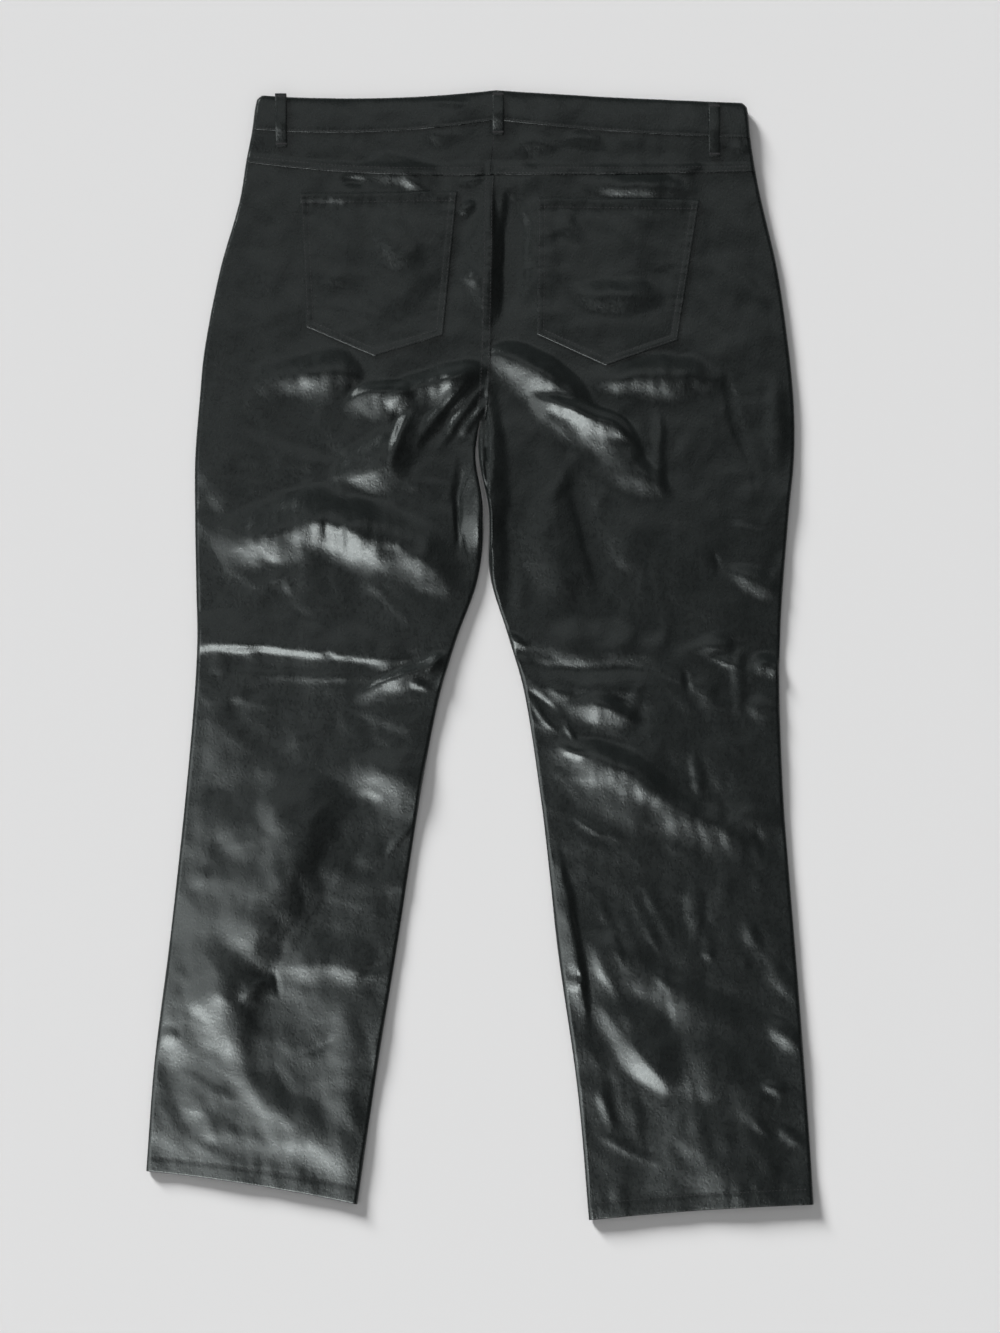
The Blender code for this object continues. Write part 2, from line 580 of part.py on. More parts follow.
def add_back_loop(loop, material):
    """A strap that follows the waistband and the yoke below it, slack between its sewn ends."""
    half = LEFT if loop.u < 0 else RIGHT
    grid = []
    for k in range(LOOP_STEPS + 1):
        v = loop.top_v + (loop.bottom_v - loop.top_v) * k / LOOP_STEPS
        slack = LOOP_RISE * math.sin(math.pi * k / LOOP_STEPS)
        under = max(back_height(loop.u + side * LOOP_WIDTH / 2, max(0, v), half.find(loop.u, v).loft)
                    for side in (-1, 0, 1))
        low = under + 1.5 * SEAM_GAP + slack
        row = []
        for side in (-1, 0, 1):
            u = loop.u + side * LOOP_WIDTH / 2
            crown = LOOP_CROWN * (1 - abs(side))
            row.append((to_world(u, v, low + LOOP_WALL + crown), to_world(u, v, low)))
        grid.append(row)
    add_wall(loop.name, grid, material)


def add_front_loop(loop, material):
    """A strap under the front waistband, flat on the floor."""
    grid = []
    for k in range(LOOP_STEPS + 1):
        v = loop.top_v + (loop.bottom_v - loop.top_v) * k / LOOP_STEPS
        edges = [loop.u + side * LOOP_WIDTH / 2 for side in (-1, 0, 1)]
        grid.append([(to_world(u, v, 0), to_world(u, v, LOOP_WALL)) for u in edges])
    add_wall(loop.name, grid, material)


def add_zip(material):
    """Tape with the closed chain along its middle, on the inside of the two fronts."""
    columns = ((-ZIP_HALF, ZIP_TAPE), (-ZIP_CHAIN_HALF - ZIP_STEP, ZIP_TAPE), (-ZIP_CHAIN_HALF, ZIP_CHAIN),
               (ZIP_CHAIN_HALF, ZIP_CHAIN), (ZIP_CHAIN_HALF + ZIP_STEP, ZIP_TAPE), (ZIP_HALF, ZIP_TAPE))
    grid = []
    rows = RIGHT.rows("waist_seam", "low_seat")
    between_ends = [station for station in rows if ZIP_TOP < station < ZIP_BOTTOM]
    for station in [ZIP_TOP] + between_ends + [ZIP_BOTTOM]:
        section = RIGHT.section(station)
        floor = section.lift + LEATHER + SEAM_GAP
        centre = section.inner_u - SEAM_GAP / 2
        grid.append([(to_world(centre + aside, station, floor),
                      to_world(centre + aside, station, floor + thick)) for aside, thick in columns])
    add_wall("fly_zip", grid, material)


def add_button(material):
    """A round metal button under the end of the left front waistband."""
    bm = bmesh.new()
    bmesh.ops.create_cone(bm, cap_ends=True, cap_tris=False, segments=20, radius1=BUTTON_RADIUS * MM,
                          radius2=BUTTON_RADIUS * MM, depth=BUTTON_HEIGHT * MM)
    rims = [edge for edge in bm.edges if abs(edge.verts[0].co.z - edge.verts[1].co.z) < MM * 0.01]
    bmesh.ops.bevel(bm, geom=rims, offset=BUTTON_BEVEL * MM, segments=1, affect="EDGES")
    item = add_object("waist_button", bm, material)
    x, y, z = to_world(BUTTON_U, BUTTON_V, BUTTON_HEIGHT / 2)
    item.location = (x, y, z)
    return item


def main():
    clear_scene()
    black_leather = make_material("black_leather", (0.018, 0.02, 0.02), 0.38)
    zip_tape = make_material("zip_tape", (0.01, 0.01, 0.01), 0.85)
    dark_metal = make_material("dark_metal", (0.09, 0.09, 0.1), 0.35, 1.0)
    backs = add_legs(black_leather)
    add_waistband(black_leather)
    for pocket, word in zip(POCKETS, ("left", "right")):
        add_pocket(pocket, backs[word], black_leather)
    for loop in BACK_LOOPS:
        add_back_loop(loop, black_leather)
    for loop in FRONT_LOOPS:
        add_front_loop(loop, black_leather)
    add_zip(zip_tape)
    add_button(dark_metal)


main()
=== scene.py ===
"""Black leather trousers laid flat on their front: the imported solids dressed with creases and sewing.

Sizes are millimetres until they reach a mesh. u runs across from the centre back seam, plus towards +X, and v
runs down from the top of the waistband (-Y), as in the part's own source. The back's skin is a height over
(u, v): its loft, the main folds, the small creases and a little random unevenness.
"""
import math
from collections import namedtuple
from functools import partial

import bpy
import numpy as np
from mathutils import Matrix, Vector


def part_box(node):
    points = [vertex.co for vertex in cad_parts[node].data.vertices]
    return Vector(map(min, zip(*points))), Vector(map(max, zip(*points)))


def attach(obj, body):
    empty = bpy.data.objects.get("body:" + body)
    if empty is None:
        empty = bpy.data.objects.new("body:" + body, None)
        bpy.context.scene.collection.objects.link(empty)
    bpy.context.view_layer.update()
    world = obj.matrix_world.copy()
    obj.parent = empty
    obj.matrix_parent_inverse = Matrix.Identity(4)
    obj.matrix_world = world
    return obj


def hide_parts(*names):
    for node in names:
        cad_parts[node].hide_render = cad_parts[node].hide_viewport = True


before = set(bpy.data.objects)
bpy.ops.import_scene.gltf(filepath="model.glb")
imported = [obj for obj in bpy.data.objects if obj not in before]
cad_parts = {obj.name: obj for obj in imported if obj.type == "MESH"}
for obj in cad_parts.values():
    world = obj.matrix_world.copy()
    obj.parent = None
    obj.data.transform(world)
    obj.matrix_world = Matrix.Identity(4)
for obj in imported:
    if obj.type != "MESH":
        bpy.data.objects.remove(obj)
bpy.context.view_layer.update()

MM = 0.001

# Cloth and seams
LEATHER = 1.2
BAND = 2.4
HEM_WALL = 1.8
HEM_DEPTH = 18.0
SEAM_GAP = 0.3
LEAST_LOFT = 4.6          # the back never lies lower than this on the front
LOFT_BEND = 0.4           # and bends softly, over about this height, where it gets there
HOLLOW_SHARE = 0.16       # the front rises under a fold by this share of its height, up to HOLLOW_REACH of it
HOLLOW_REACH = 8.0

# Rolled edges at the outline
ROLL_WIDTH = 4.0
ROLL_ARC = 5.4

# Middle of the whole garment, where the origin is
MIDDLE_U = -14.5
MIDDLE_V = 542.0

# Mesh steps
BACK_PITCH = 2.9
FRONT_PITCH = 5.0
ROLL_REACH = 6.0          # the closer steps beside an outline reach this far in
ROLL_STEPS = 9
STRIP_STEPS = 24          # across the strip of front between the seam at the inseam and the flat
WAISTBAND_PITCH = 3.0
EDGE_PITCH = 2.0          # down the narrow pieces
EDGE_STEPS = (0, 0.12, 0.35, 0.8, 1.6)      # the closer places beside a cut edge

# For each section of a half: the ends of its row, the row's bow, the height of the back's skin, the height
# of the front's underside, how far the inner edge is rolled (0 at a seam, 1 at an outline) and how far the
# inseam lies in from the outline along the back
Section = namedtuple("Section", "name inner_u inner_v outer_u outer_v bow loft lift roll wrap")

LEFT_SECTIONS = (
    Section("waist_top", 1, 0, -224, 5, 5, 8.8, 2.0, 0, 0),
    Section("waist_corner", 0.8, 4, -228.6, 9.4, 5, 8.8, 2.0, 0, 0),
    Section("waist_seam", 0, 29, -233, 38, 7, 8.8, 2.0, 0, 0),
    Section("yoke_seam", -5, 81, -239, 69, 5, 7.6, 1.4, 0, 0),
    Section("pocket_top", -6, 105, -245, 105, 2, 7.0, 0.8, 0, 0),
    Section("seat", -7, 172, -264, 172, 0, 6.4, 0, 0, 0),
    Section("low_seat", -9, 249, -279, 249, 0, 6.2, 0, 0, 0),
    Section("seat_fold", -12, 301, -284, 301, 0, 6.2, 0, 0, 0),
    Section("crotch", -18.6, 349, -288, 354, 0, 6.0, 0, 1, 0),
    Section("upper_thigh", -10.5, 402, -288, 412, 0, 6.0, 0, 1, 26),
    Section("thigh", -16, 467, -287, 474, 0, 5.8, 0, 1, 9),
    Section("above_knee", -37, 527, -286, 527, 0, 5.8, 0, 1, 0),
    Section("knee", -55, 589, -289, 585, 0, 5.8, 0, 1, 0),
    Section("calf", -74, 692, -298, 685, 0, 5.6, 0, 1, 0),
    Section("shin", -93, 815, -312, 813, 0, 5.6, 0, 1, 0),
    Section("ankle", -114, 945, -327, 932, 0, 5.6, 0, 1, 0),
    Section("hem", -132, 1069, -335, 1037, -3, 5.8, 0, 1, 0),
)

RIGHT_SECTIONS = (
    Section("waist_top", 1, 0, 237, 12, 1, 8.8, 2.0, 0, 0),
    Section("waist_corner", 0.8, 4, 241.6, 16.6, 1, 8.8, 2.0, 0, 0),
    Section("waist_seam", 0, 29, 245, 46, 3, 8.8, 2.0, 0, 0),
    Section("yoke_seam", -5, 81, 250, 78, 1, 7.6, 1.4, 0, 0),
    Section("pocket_top", -6, 105, 255, 103, 1, 7.0, 0.8, 0, 0),
    Section("seat", -7, 172, 271, 172, 0, 6.4, 0, 0, 0),
    Section("low_seat", -9, 249, 282, 249, 0, 6.2, 0, 0, 0),
    Section("seat_fold", -12, 301, 287, 304, 0, 6.2, 0, 0, 0),
    Section("crotch", -16.4, 349, 287, 354, 0, 6.0, 0, 1, 0),
    Section("upper_thigh", -7, 402, 282, 407, 0, 6.0, 0, 1, 6),
    Section("thigh", -5, 465, 277, 469, 0, 5.8, 0, 1, 3),
    Section("above_knee", 12, 522, 274, 517, 0, 5.8, 0, 1, 0),
    Section("knee", 28, 578, 273, 575, 0, 5.8, 0, 1, 0),
    Section("calf", 44, 681, 277, 681, 0, 5.6, 0, 1, 1),
    Section("mid_calf", 52, 750, 282, 748, 0, 5.6, 0, 1, 8),
    Section("shin", 60, 825, 288, 820, 0, 5.6, 0, 1, 17),
    Section("ankle", 79, 959, 298, 949, 0, 5.6, 0, 1, 8),
    Section("hem", 90, 1084, 306, 1069, -2, 5.8, 0, 1, 4),
)

# A row for each fold of the back: a ridge (or a trough, with a minus height) along a line from its first end
# to its second, bowed sideways at its middle, and as wide on each side of its crest as above and below say.
# Below is the side towards the hem for a fold drawn from left to right, and the left side for one drawn down.
# The lower crest is, the sharper the ridge: 2 is round.
Fold = namedtuple("Fold", "name u1 v1 u2 v2 bow height above below crest")
FOLD_FADE = 0.4           # share of its length that a fold fades over at each end
FOLD_END_WIDTH = 0.45     # share of a fold's width that is left at its ends
RIDGE_END_WIDTH = 0.5
CURVE_STEPS = 6           # steps of a crest between two places of its path

MAIN_FOLDS = (
    Fold("seat_valley", 15, 84, 4, 226, -3, -4.6, 26, 8, 1.5),
    Fold("right_of_valley", 46, 90, 38, 232, 0, 1.2, 24, 30, 2),
    Fold("seat_seam_ridge", -4, 86, -7, 238, 0, 3.4, 15, 30, 1.8),
    Fold("left_yoke_bulge", -142, 78, -44, 88, -5, 2.0, 18, 18, 1.5),
    Fold("right_yoke_bulge", 74, 88, 200, 95, -2, 2.6, 12, 18, 1.4),
    Fold("right_crotch_tail", 98, 336, 172, 392, -2, 4.2, 16, 30, 1.6),
    Fold("left_strip_ridge", -15, 324, -20, 456, -4, 5.6, 7, 20, 1.5),
    Fold("left_seam_valley", -34, 344, -37, 452, 0, -2.2, 6, 6, 1.5),
    Fold("right_inner_ridge", -4, 252, 8, 530, 7, 4.8, 20, 5, 1.5),
    Fold("right_thigh_inner", 56, 350, 62, 520, 0, 1.8, 30, 36, 2),
    Fold("right_thigh_pleat", 130, 400, 132, 470, 0, 1.2, 26, 26, 2),
    Fold("right_thigh_wedge", 214, 454, 286, 486, 0, 2.4, 14, 18, 1.4),
    Fold("right_knee_top", 8, 527, 182, 535, 6, 2.4, 34, 22, 1.6),
    Fold("right_knee_fold", 22, 573, 170, 578, -3, 1.8, 24, 12, 1.6),
    Fold("right_knee_outer", 244, 546, 286, 557, 0, 3.2, 12, 16, 1.5),
    Fold("left_calf_outer", -306, 698, -240, 702, -2, 1.2, 30, 26, 2),
    Fold("left_calf_middle", -235, 694, -160, 692, -2, 1.6, 30, 28, 2),
    Fold("left_ankle_swell", -352, 878, -210, 868, -2, 4.4, 62, 84, 1.8),
    Fold("left_ankle_inner", -139, 873, -141, 1030, 0, 2.0, 24, 34, 2),
    Fold("right_shin_diagonal", 170, 936, 282, 984, 2, 0.5, 34, 26, 1.8),
    Fold("right_strip_ridge", 59, 716, 89, 912, 0, 3.6, 9, 24, 1.6),
    Fold("right_ankle_outer", 258, 888, 295, 923, 0, 1.8, 12, 14, 1.6),
    Fold("right_calf_outer", 218, 697, 283, 699, 0, 1.7, 18, 20, 2),
    Fold("right_hem_slope", 226, 860, 240, 1110, 0, 2.4, 60, 110, 2),
)

# The largest folds, along paths of their own: places on the crest, each with the height there. Ripple is the
# height of the fine wrinkles that run down over them, on a ridge RIPPLE_FULL high, up to MOST_RIPPLE.
Ridge = namedtuple("Ridge", "name above below crest ripple path")
RIPPLE_FULL = 6
MOST_RIPPLE = 0.6

MAIN_RIDGES = (
    Ridge("left_seat_swag", 26, 34, 1.5, 0.5,
          ((-234, 286, 0), (-206, 275, 2.2), (-178, 270, 3.8), (-150, 270, 5.2), (-128, 277, 0))),
    Ridge("left_seat_shell", 12, 36, 1.4, 0.5,
          ((-146, 308, 0), (-130, 295, 3.6), (-110, 290, 5.2), (-92, 290, 4.4), (-78, 297, 0))),
    Ridge("left_seat_roll", 16, 34, 1.3, 0.5,
          ((-104, 302, 0), (-84, 289, 5.0), (-58, 281, 7.6), (-34, 273, 7.6), (-6, 268, 0))),
    Ridge("left_thigh_dent", 34, 30, 1.4, 0.4,
          ((-154, 388, 0), (-134, 371, 4.2), (-110, 360, 6.2), (-92, 340, 4.8), (-79, 314, 3.2),
           (-68, 290, 0))),
    Ridge("left_thigh_roll", 44, 44, 1.25, 0.5,
          ((-268, 446, 0), (-240, 431, 4.4), (-200, 422, 7.6), (-160, 417, 9.4), (-122, 428, 8.2),
           (-88, 439, 5.8), (-60, 459, 3.8), (-38, 492, 0))),
    Ridge("right_crotch_roll", 20, 36, 1.4, 0.4,
          ((-12, 256, 0), (8, 256, 5.0), (30, 262, 7.2), (52, 274, 7.2), (74, 290, 5.2), (96, 312, 0))),
    Ridge("right_crotch_fold", 12, 46, 1.25, 0.5,
          ((34, 292, 0), (54, 299, 4.6), (78, 306, 7.2), (104, 316, 8.0), (124, 331, 5.4), (140, 354, 0))),
    Ridge("right_seat_roll", 28, 28, 1.4, 0.5,
          ((92, 284, 0), (118, 278, 3.2), (152, 276, 5.6), (188, 278, 4.0), (222, 283, 0))),
    Ridge("left_knee_fold", 40, 9, 1.3, 0,
          ((-320, 532, 0), (-280, 532, 2.3), (-200, 536, 2.6), (-146, 541, 2.2), (-104, 546, 1.1),
           (-66, 550, 0))),
    Ridge("left_knee_corner", 10, 20, 1.4, 0,
          ((-136, 584, 0), (-112, 573, 3.0), (-86, 560, 4.8), (-62, 549, 3.6), (-44, 539, 0))),
    Ridge("right_knee_spot", 14, 30, 1.4, 0.3,
          ((64, 590, 0), (84, 586, 3.0), (104, 588, 5.2), (124, 597, 3.0), (142, 608, 0))),
    Ridge("left_calf_lobe", 34, 46, 1.6, 0,
          ((-140, 648, 0), (-114, 653, 2.2), (-92, 657, 3.2), (-74, 654, 2.4), (-52, 646, 0))),
    Ridge("left_shin_ridge", 50, 104, 1.7, 0,
          ((-162, 660, 0), (-187, 710, 6.0), (-212, 760, 8.0), (-236, 808, 7.0), (-258, 852, 3.6),
           (-280, 892, 0))),
    Ridge("right_calf_diagonal", 26, 52, 1.4, 0.3,
          ((56, 622, 0), (78, 634, 3.2), (102, 645, 6.0), (130, 660, 6.2), (160, 680, 4.6),
           (200, 700, 3.0), (250, 722, 0))),
    Ridge("left_shin_peak", 36, 24, 1.3, 0,
          ((-214, 846, 0), (-192, 840, 1.8), (-165, 839, 2.6), (-135, 843, 1.9), (-108, 850, 0))),
    Ridge("left_ankle_ridge", 32, 32, 1.7, 0,
          ((-252, 868, 0), (-245, 905, 1.6), (-236, 945, 1.8), (-214, 978, 2.0), (-182, 998, 2.6),
           (-150, 1020, 1.6), (-130, 1046, 0))),
    Ridge("right_shin_top", 28, 44, 1.7, 0,
          ((76, 812, 0), (104, 826, 2.4), (132, 840, 2.4), (172, 864, 1.7), (240, 896, 1.0),
           (284, 912, 0))),
    Ridge("right_shin_crease", 44, 26, 1.5, 0,
          ((90, 858, 0), (106, 882, 1.8), (124, 905, 2.8), (146, 929, 3.8), (158, 944, 2.4),
           (168, 962, 0))),
)

SMALL_CREASES = (
    Fold("left_seat_crease", -76, 300, -104, 364, 3, 2.0, 9, 8, 1.6),
    Fold("left_seat_notch", -137, 272, -140, 302, 0, -0.8, 5, 5, 1.6),
    Fold("left_seat_gutter", -86, 300, -106, 352, 3, -1.2, 8, 7, 1.6),
    Fold("crotch_crease_upper", -14, 270, -80, 352, 8, 3.8, 8, 9, 1.5),
    Fold("crotch_crease_lower", -2, 280, -56, 350, 7, 3.2, 7, 8, 1.5),
    Fold("crotch_crease_third", 0, 296, -40, 344, 5, 2.4, 6, 6, 1.5),
    Fold("left_thigh_nick", -161, 408, -161, 439, 0, -0.6, 3, 3, 1.4),
    Fold("left_thigh_hook", -232, 480, -196, 463, -2, 1.0, 4, 5, 1.3),
    Fold("left_thigh_hook_two", -202, 466, -194, 486, 0, 0.5, 4, 5, 1.4),
    Fold("left_knee_second", -268, 555, -88, 561, 5, 0.8, 8, 8, 1.4),
    Fold("left_knee_third", -270, 577, -187, 585, 3, 0.3, 10, 9, 1.8),
    Fold("left_knee_gutter", -51, 542, -116, 570, 3, -2.4, 7, 7, 1.5),
    Fold("left_knee_pinch", -84, 567, -59, 575, 0, 1.6, 5, 6, 1.4),
    Fold("left_knee_pinch_two", -47, 539, -68, 560, 0, 1.4, 4, 4, 1.3),
    Fold("left_knee_pinch_three", -43, 548, -57, 575, 0, 1.0, 4, 4, 1.3),
    Fold("left_knee_eye", -170, 539, -151, 543, 0, -1.2, 3, 3, 1.6),
    Fold("left_lobe_edge", -160, 596, -62, 640, -7, -0.4, 8, 8, 1.6),
    Fold("left_lobe_hole", -146, 686, -108, 682, 0, -1.6, 12, 10, 2),
    Fold("left_inner_crease", -78, 699, -106, 737, 0, 1.8, 5, 7, 1.2),
    Fold("left_calf_spot", -300, 754, -250, 759, 0, 0.8, 14, 18, 1.8),
    Fold("left_shin_patch", -168, 742, -136, 752, 0, 0.9, 14, 22, 1.8),
    Fold("left_shin_crease_two", -157, 756, -211, 846, 0, 0.5, 9, 10, 1.6),
    Fold("left_peak_notch", -214, 844, -205, 874, 0, -1.2, 4, 4, 1.3),
    Fold("left_peak_patch", -250, 874, -208, 850, 0, 2.4, 12, 20, 1.6),
    Fold("left_shin_line", -133, 850, -101, 834, 0, -1.2, 4, 4, 1.4),
    Fold("left_shin_line_two", -190, 924, -146, 905, 3, -0.8, 6, 6, 1.4),
    Fold("left_outer_spot", -327, 905, -300, 907, 0, 1.0, 10, 14, 1.6),
    Fold("left_outer_gutter", -318, 916, -262, 1020, 12, -0.8, 18, 16, 2),
    Fold("left_hem_gutter", -290, 1004, -190, 1030, 2, -0.7, 16, 14, 2),
    Fold("left_ankle_fan_a", -224, 882, -203, 972, 4, 0.3, 14, 14, 1.8),
    Fold("left_ankle_fan_b", -203, 882, -181, 988, 4, 0.3, 14, 14, 1.8),
    Fold("left_ankle_cross", -306, 936, -238, 976, 3, 0.3, 8, 9, 1.5),
    Fold("left_hem_swell", -293, 988, -239, 1001, 3, 0.6, 14, 18, 2),
    Fold("right_fold_step", 128, 318, 150, 352, 0, 0.9, 9, 9, 1.6),
    Fold("right_fold_end", 155, 293, 159, 398, 0, 1.4, 9, 9, 1.5),
    Fold("right_thigh_gutter", 64, 338, 99, 506, -6, -1.4, 24, 10, 1.8),
    Fold("right_outer_streak", 218, 258, 251, 368, 4, -1.4, 10, 9, 1.8),
    Fold("right_outer_rise", 266, 270, 272, 370, 0, 1.8, 16, 14, 2),
    Fold("right_outer_line", 222, 417, 260, 426, 0, 0.7, 4, 5, 1.3),
    Fold("right_outer_nick", 207, 437, 217, 468, 0, -1.0, 4, 4, 1.3),
    Fold("right_knee_pinch", 3, 517, 36, 535, 0, 2.2, 7, 9, 1.4),
    Fold("right_knee_pinch_two", 11, 537, 28, 554, 0, 1.2, 4, 4, 1.3),
    Fold("right_knee_gutter", 14, 549, 176, 556, 3, -0.8, 9, 12, 1.6),
    Fold("right_knee_wedge", 47, 573, 80, 581, 0, 0.9, 6, 12, 1.6),
    Fold("right_knee_arc", 180, 539, 236, 536, -5, 1.2, 9, 9, 1.6),
    Fold("right_knee_line", 196, 537, 246, 556, 0, 1.2, 5, 6, 1.3),
    Fold("right_knee_gap", 180, 550, 187, 585, 0, -1.2, 5, 5, 1.5),
    Fold("right_inner_crease_a", 34, 583, 60, 617, 2, 1.6, 4, 5, 1.2),
    Fold("right_inner_crease_b", 62, 600, 79, 629, 0, 1.6, 4, 5, 1.2),
    Fold("right_inner_crease_c", 55, 627, 95, 640, 2, 1.8, 4, 5, 1.3),
    Fold("right_inner_crease_d", 28, 575, 62, 600, 0, -1.4, 5, 5, 1.4),
    Fold("right_calf_line", 72, 692, 112, 715, 2, 0.9, 5, 6, 1.3),
    Fold("right_calf_spot", 237, 585, 281, 597, 0, 1.8, 13, 20, 1.8),
    Fold("right_calf_upright", 191, 627, 196, 684, 0, 1.2, 9, 9, 1.8),
    Fold("right_calf_upright_two", 237, 527, 231, 604, 0, 1.0, 9, 9, 1.8),
    Fold("right_fan_a", 95, 754, 126, 850, 0, 0.5, 8, 8, 1.6),
    Fold("right_fan_b", 107, 765, 143, 846, 0, 0.5, 8, 8, 1.6),
    Fold("right_fan_c", 122, 761, 166, 840, 0, 0.5, 8, 8, 1.6),
    Fold("right_fan_bright", 104, 796, 124, 846, 0, 0.4, 8, 9, 1.6),
    Fold("right_fan_d", 139, 757, 174, 825, 0, 0.6, 9, 9, 1.6),
    Fold("right_shin_upright", 190, 752, 190, 816, 0, 1.2, 12, 12, 1.8),
    Fold("right_shin_spot", 239, 792, 258, 826, 0, 0.8, 9, 12, 1.7),
    Fold("right_shin_dot", 195, 821, 212, 830, 0, 0.9, 7, 9, 1.8),
    Fold("right_ankle_spot", 251, 949, 285, 965, 0, 1.3, 8, 12, 1.6),
    Fold("right_ankle_spot_two", 270, 994, 300, 1011, 0, 1.3, 8, 12, 1.6),
    Fold("right_ankle_spot_three", 247, 986, 266, 1007, 0, 0.7, 6, 8, 1.6),
    Fold("right_ankle_fan_a", 104, 940, 112, 1010, 0, 0.5, 10, 10, 1.8),
    Fold("right_ankle_fan_b", 132, 950, 142, 1020, 0, 0.5, 10, 10, 1.8),
    Fold("right_ankle_fan_c", 160, 1000, 184, 1046, 3, 0.25, 10, 10, 1.8),
    Fold("right_ankle_fan_d", 187, 957, 203, 1038, 0, 0.3, 12, 12, 1.8),
    Fold("right_ankle_fan_e", 216, 969, 226, 1038, 0, 0.3, 12, 12, 1.8),
    Fold("right_ankle_line", 90, 996, 168, 1032, 3, 0.6, 8, 9, 1.5),
    Fold("right_inner_streak", 100, 946, 118, 1000, 3, 0.6, 7, 9, 1.6),
    Fold("right_strip_gutter", 62, 849, 87, 849, 0, -1.6, 3, 3, 1.4),
    Fold("right_strip_fold", 62, 856, 87, 855, 0, 1.1, 4, 5, 1.4),
    Fold("waistband_shine", -68, 12, -20, 11, 0, 0.9, 6, 6, 1.8),
    Fold("left_yoke_spot", -74, 40, -30, 43, 0, 1.0, 10, 16, 1.8),
    Fold("left_bulge_tail", -94, 78, -54, 102, 0, 1.0, 8, 10, 1.4),
    Fold("left_bulge_gap", -152, 86, -120, 92, 0, -1.8, 6, 8, 1.6),
    Fold("left_yoke_crease", -37, 91, -9, 82, 0, 1.2, 5, 5, 1.4),
    Fold("left_yoke_shine", -120, 85, -62, 92, -3, 0.65, 8, 8, 1.6),
    Fold("right_yoke_shine", 78, 92, 192, 99, 0, 0.95, 9, 10, 1.6),
    Fold("left_yoke_crease_two", -38, 118, -16, 105, 0, 1.8, 5, 8, 1.5),
    Fold("left_seam_spot", -26, 182, -9, 179, 0, 1.0, 7, 9, 1.6),
    Fold("right_yoke_arc", 16, 57, 62, 57, -7, 1.1, 9, 12, 1.6),
    Fold("right_yoke_arc_two", 60, 52, 110, 57, -8, 1.1, 9, 13, 1.6),
    Fold("right_yoke_dent", 30, 59, 39, 78, 0, -0.8, 10, 10, 1.8),
    Fold("right_yoke_crease", 11, 89, 22, 108, 0, 0.6, 4, 6, 1.6),
    Fold("right_yoke_line", 174, 78, 203, 72, 0, 1.0, 5, 5, 1.4),
    Fold("right_yoke_outer", 224, 53, 245, 57, 0, 0.8, 8, 9, 1.8),
    Fold("left_pocket_dent", -122, 112, -64, 172, 4, 1.9, 22, 26, 1.9),
    Fold("right_pocket_roll", 66, 194, 166, 197, 2, 2.6, 20, 22, 1.8),
    Fold("right_pocket_dent", 58, 112, 88, 148, 2, 1.0, 14, 14, 1.8),
    Fold("left_hip_diagonal", -241, 153, -203, 201, -3, 0.8, 18, 18, 2),
    Fold("right_hip_diagonal", 197, 153, 262, 210, -3, 0.6, 18, 20, 2),
    Fold("right_hip_line", 231, 168, 266, 212, 0, 0.3, 8, 10, 1.8),
)

# Zones of small random creases: how many, their height, and the way they run, in degrees from across
Zone = namedtuple("Zone", "name left right top bottom count height turn")
SCATTER_SEED = 101
SCATTER_TURN = 28         # how much their directions differ, in degrees
SCATTER_REACH = (12, 40)  # half their length
SCATTER_HEIGHT = (0.35, 1.0)
SCATTER_TROUGHS = 0.3     # share of them that are troughs
SCATTER_WIDTH = (4, 13)
SCATTER_EVEN_WIDTH = 9    # a crease this wide has its zone's height
SCATTER_BOW = 5
SCATTER_SKEW = (0.8, 1.8) # how much wider they are above than below
SCATTER_CREST = (1.25, 1.8)
CREASE_ZONES = (
    Zone("left_seat_zone", -280, -10, 110, 300, 26, 0.35, 10),
    Zone("right_seat_zone", 10, 285, 110, 300, 26, 0.35, 170),
    Zone("left_thigh_zone", -285, -30, 300, 530, 50, 0.5, 20),
    Zone("right_thigh_zone", 0, 280, 300, 530, 50, 0.5, 100),
    Zone("left_knee_zone", -290, -50, 520, 620, 34, 0.5, 5),
    Zone("right_knee_zone", 20, 280, 520, 620, 44, 0.6, 10),
    Zone("left_calf_zone", -310, -80, 610, 860, 50, 0.4, 150),
    Zone("right_calf_zone", 50, 285, 610, 860, 56, 0.5, 60),
    Zone("left_ankle_zone", -330, -110, 850, 1020, 40, 0.28, 60),
    Zone("right_ankle_zone", 80, 300, 850, 1040, 44, 0.3, 75),
)

# Random fields over (u, v): their height, wavelength across and down, and whether they fold over into ridges
Unevenness = namedtuple("Unevenness", "seed height wave_u wave_v ridged", defaults=(False,))
UNEVEN = (
    Unevenness(3, 1.3, 100, 110),
    Unevenness(5, 0.8, 46, 52),
    Unevenness(7, 0.13, 13, 16),
    Unevenness(11, 0.22, 24, 22),
    Unevenness(13, 0.7, 75, 62, True),
    Unevenness(17, 0.35, 33, 40, True),
)
WANDER_U = (Unevenness(21, 3.0, 64, 70), Unevenness(23, 1.8, 21, 25))     # the folds' places, across
WANDER_V = (Unevenness(22, 3.0, 64, 60), Unevenness(24, 1.8, 23, 21))     # and down
STRENGTH = (Unevenness(25, 0.2, 38, 38),)                                 # the folds' height
RIPPLES = (Unevenness(27, 1.0, 9, 34),)
RIDGED_LEVEL = 0.5
RIDGED_ROUNDING = 0.0009
LATTICE = 128             # the random slopes are drawn on a lattice with so many places each way
LATTICE_START = (37.3, 41.7)
DRIFT_GAIN = 1.5          # brings a field's peaks to about 1

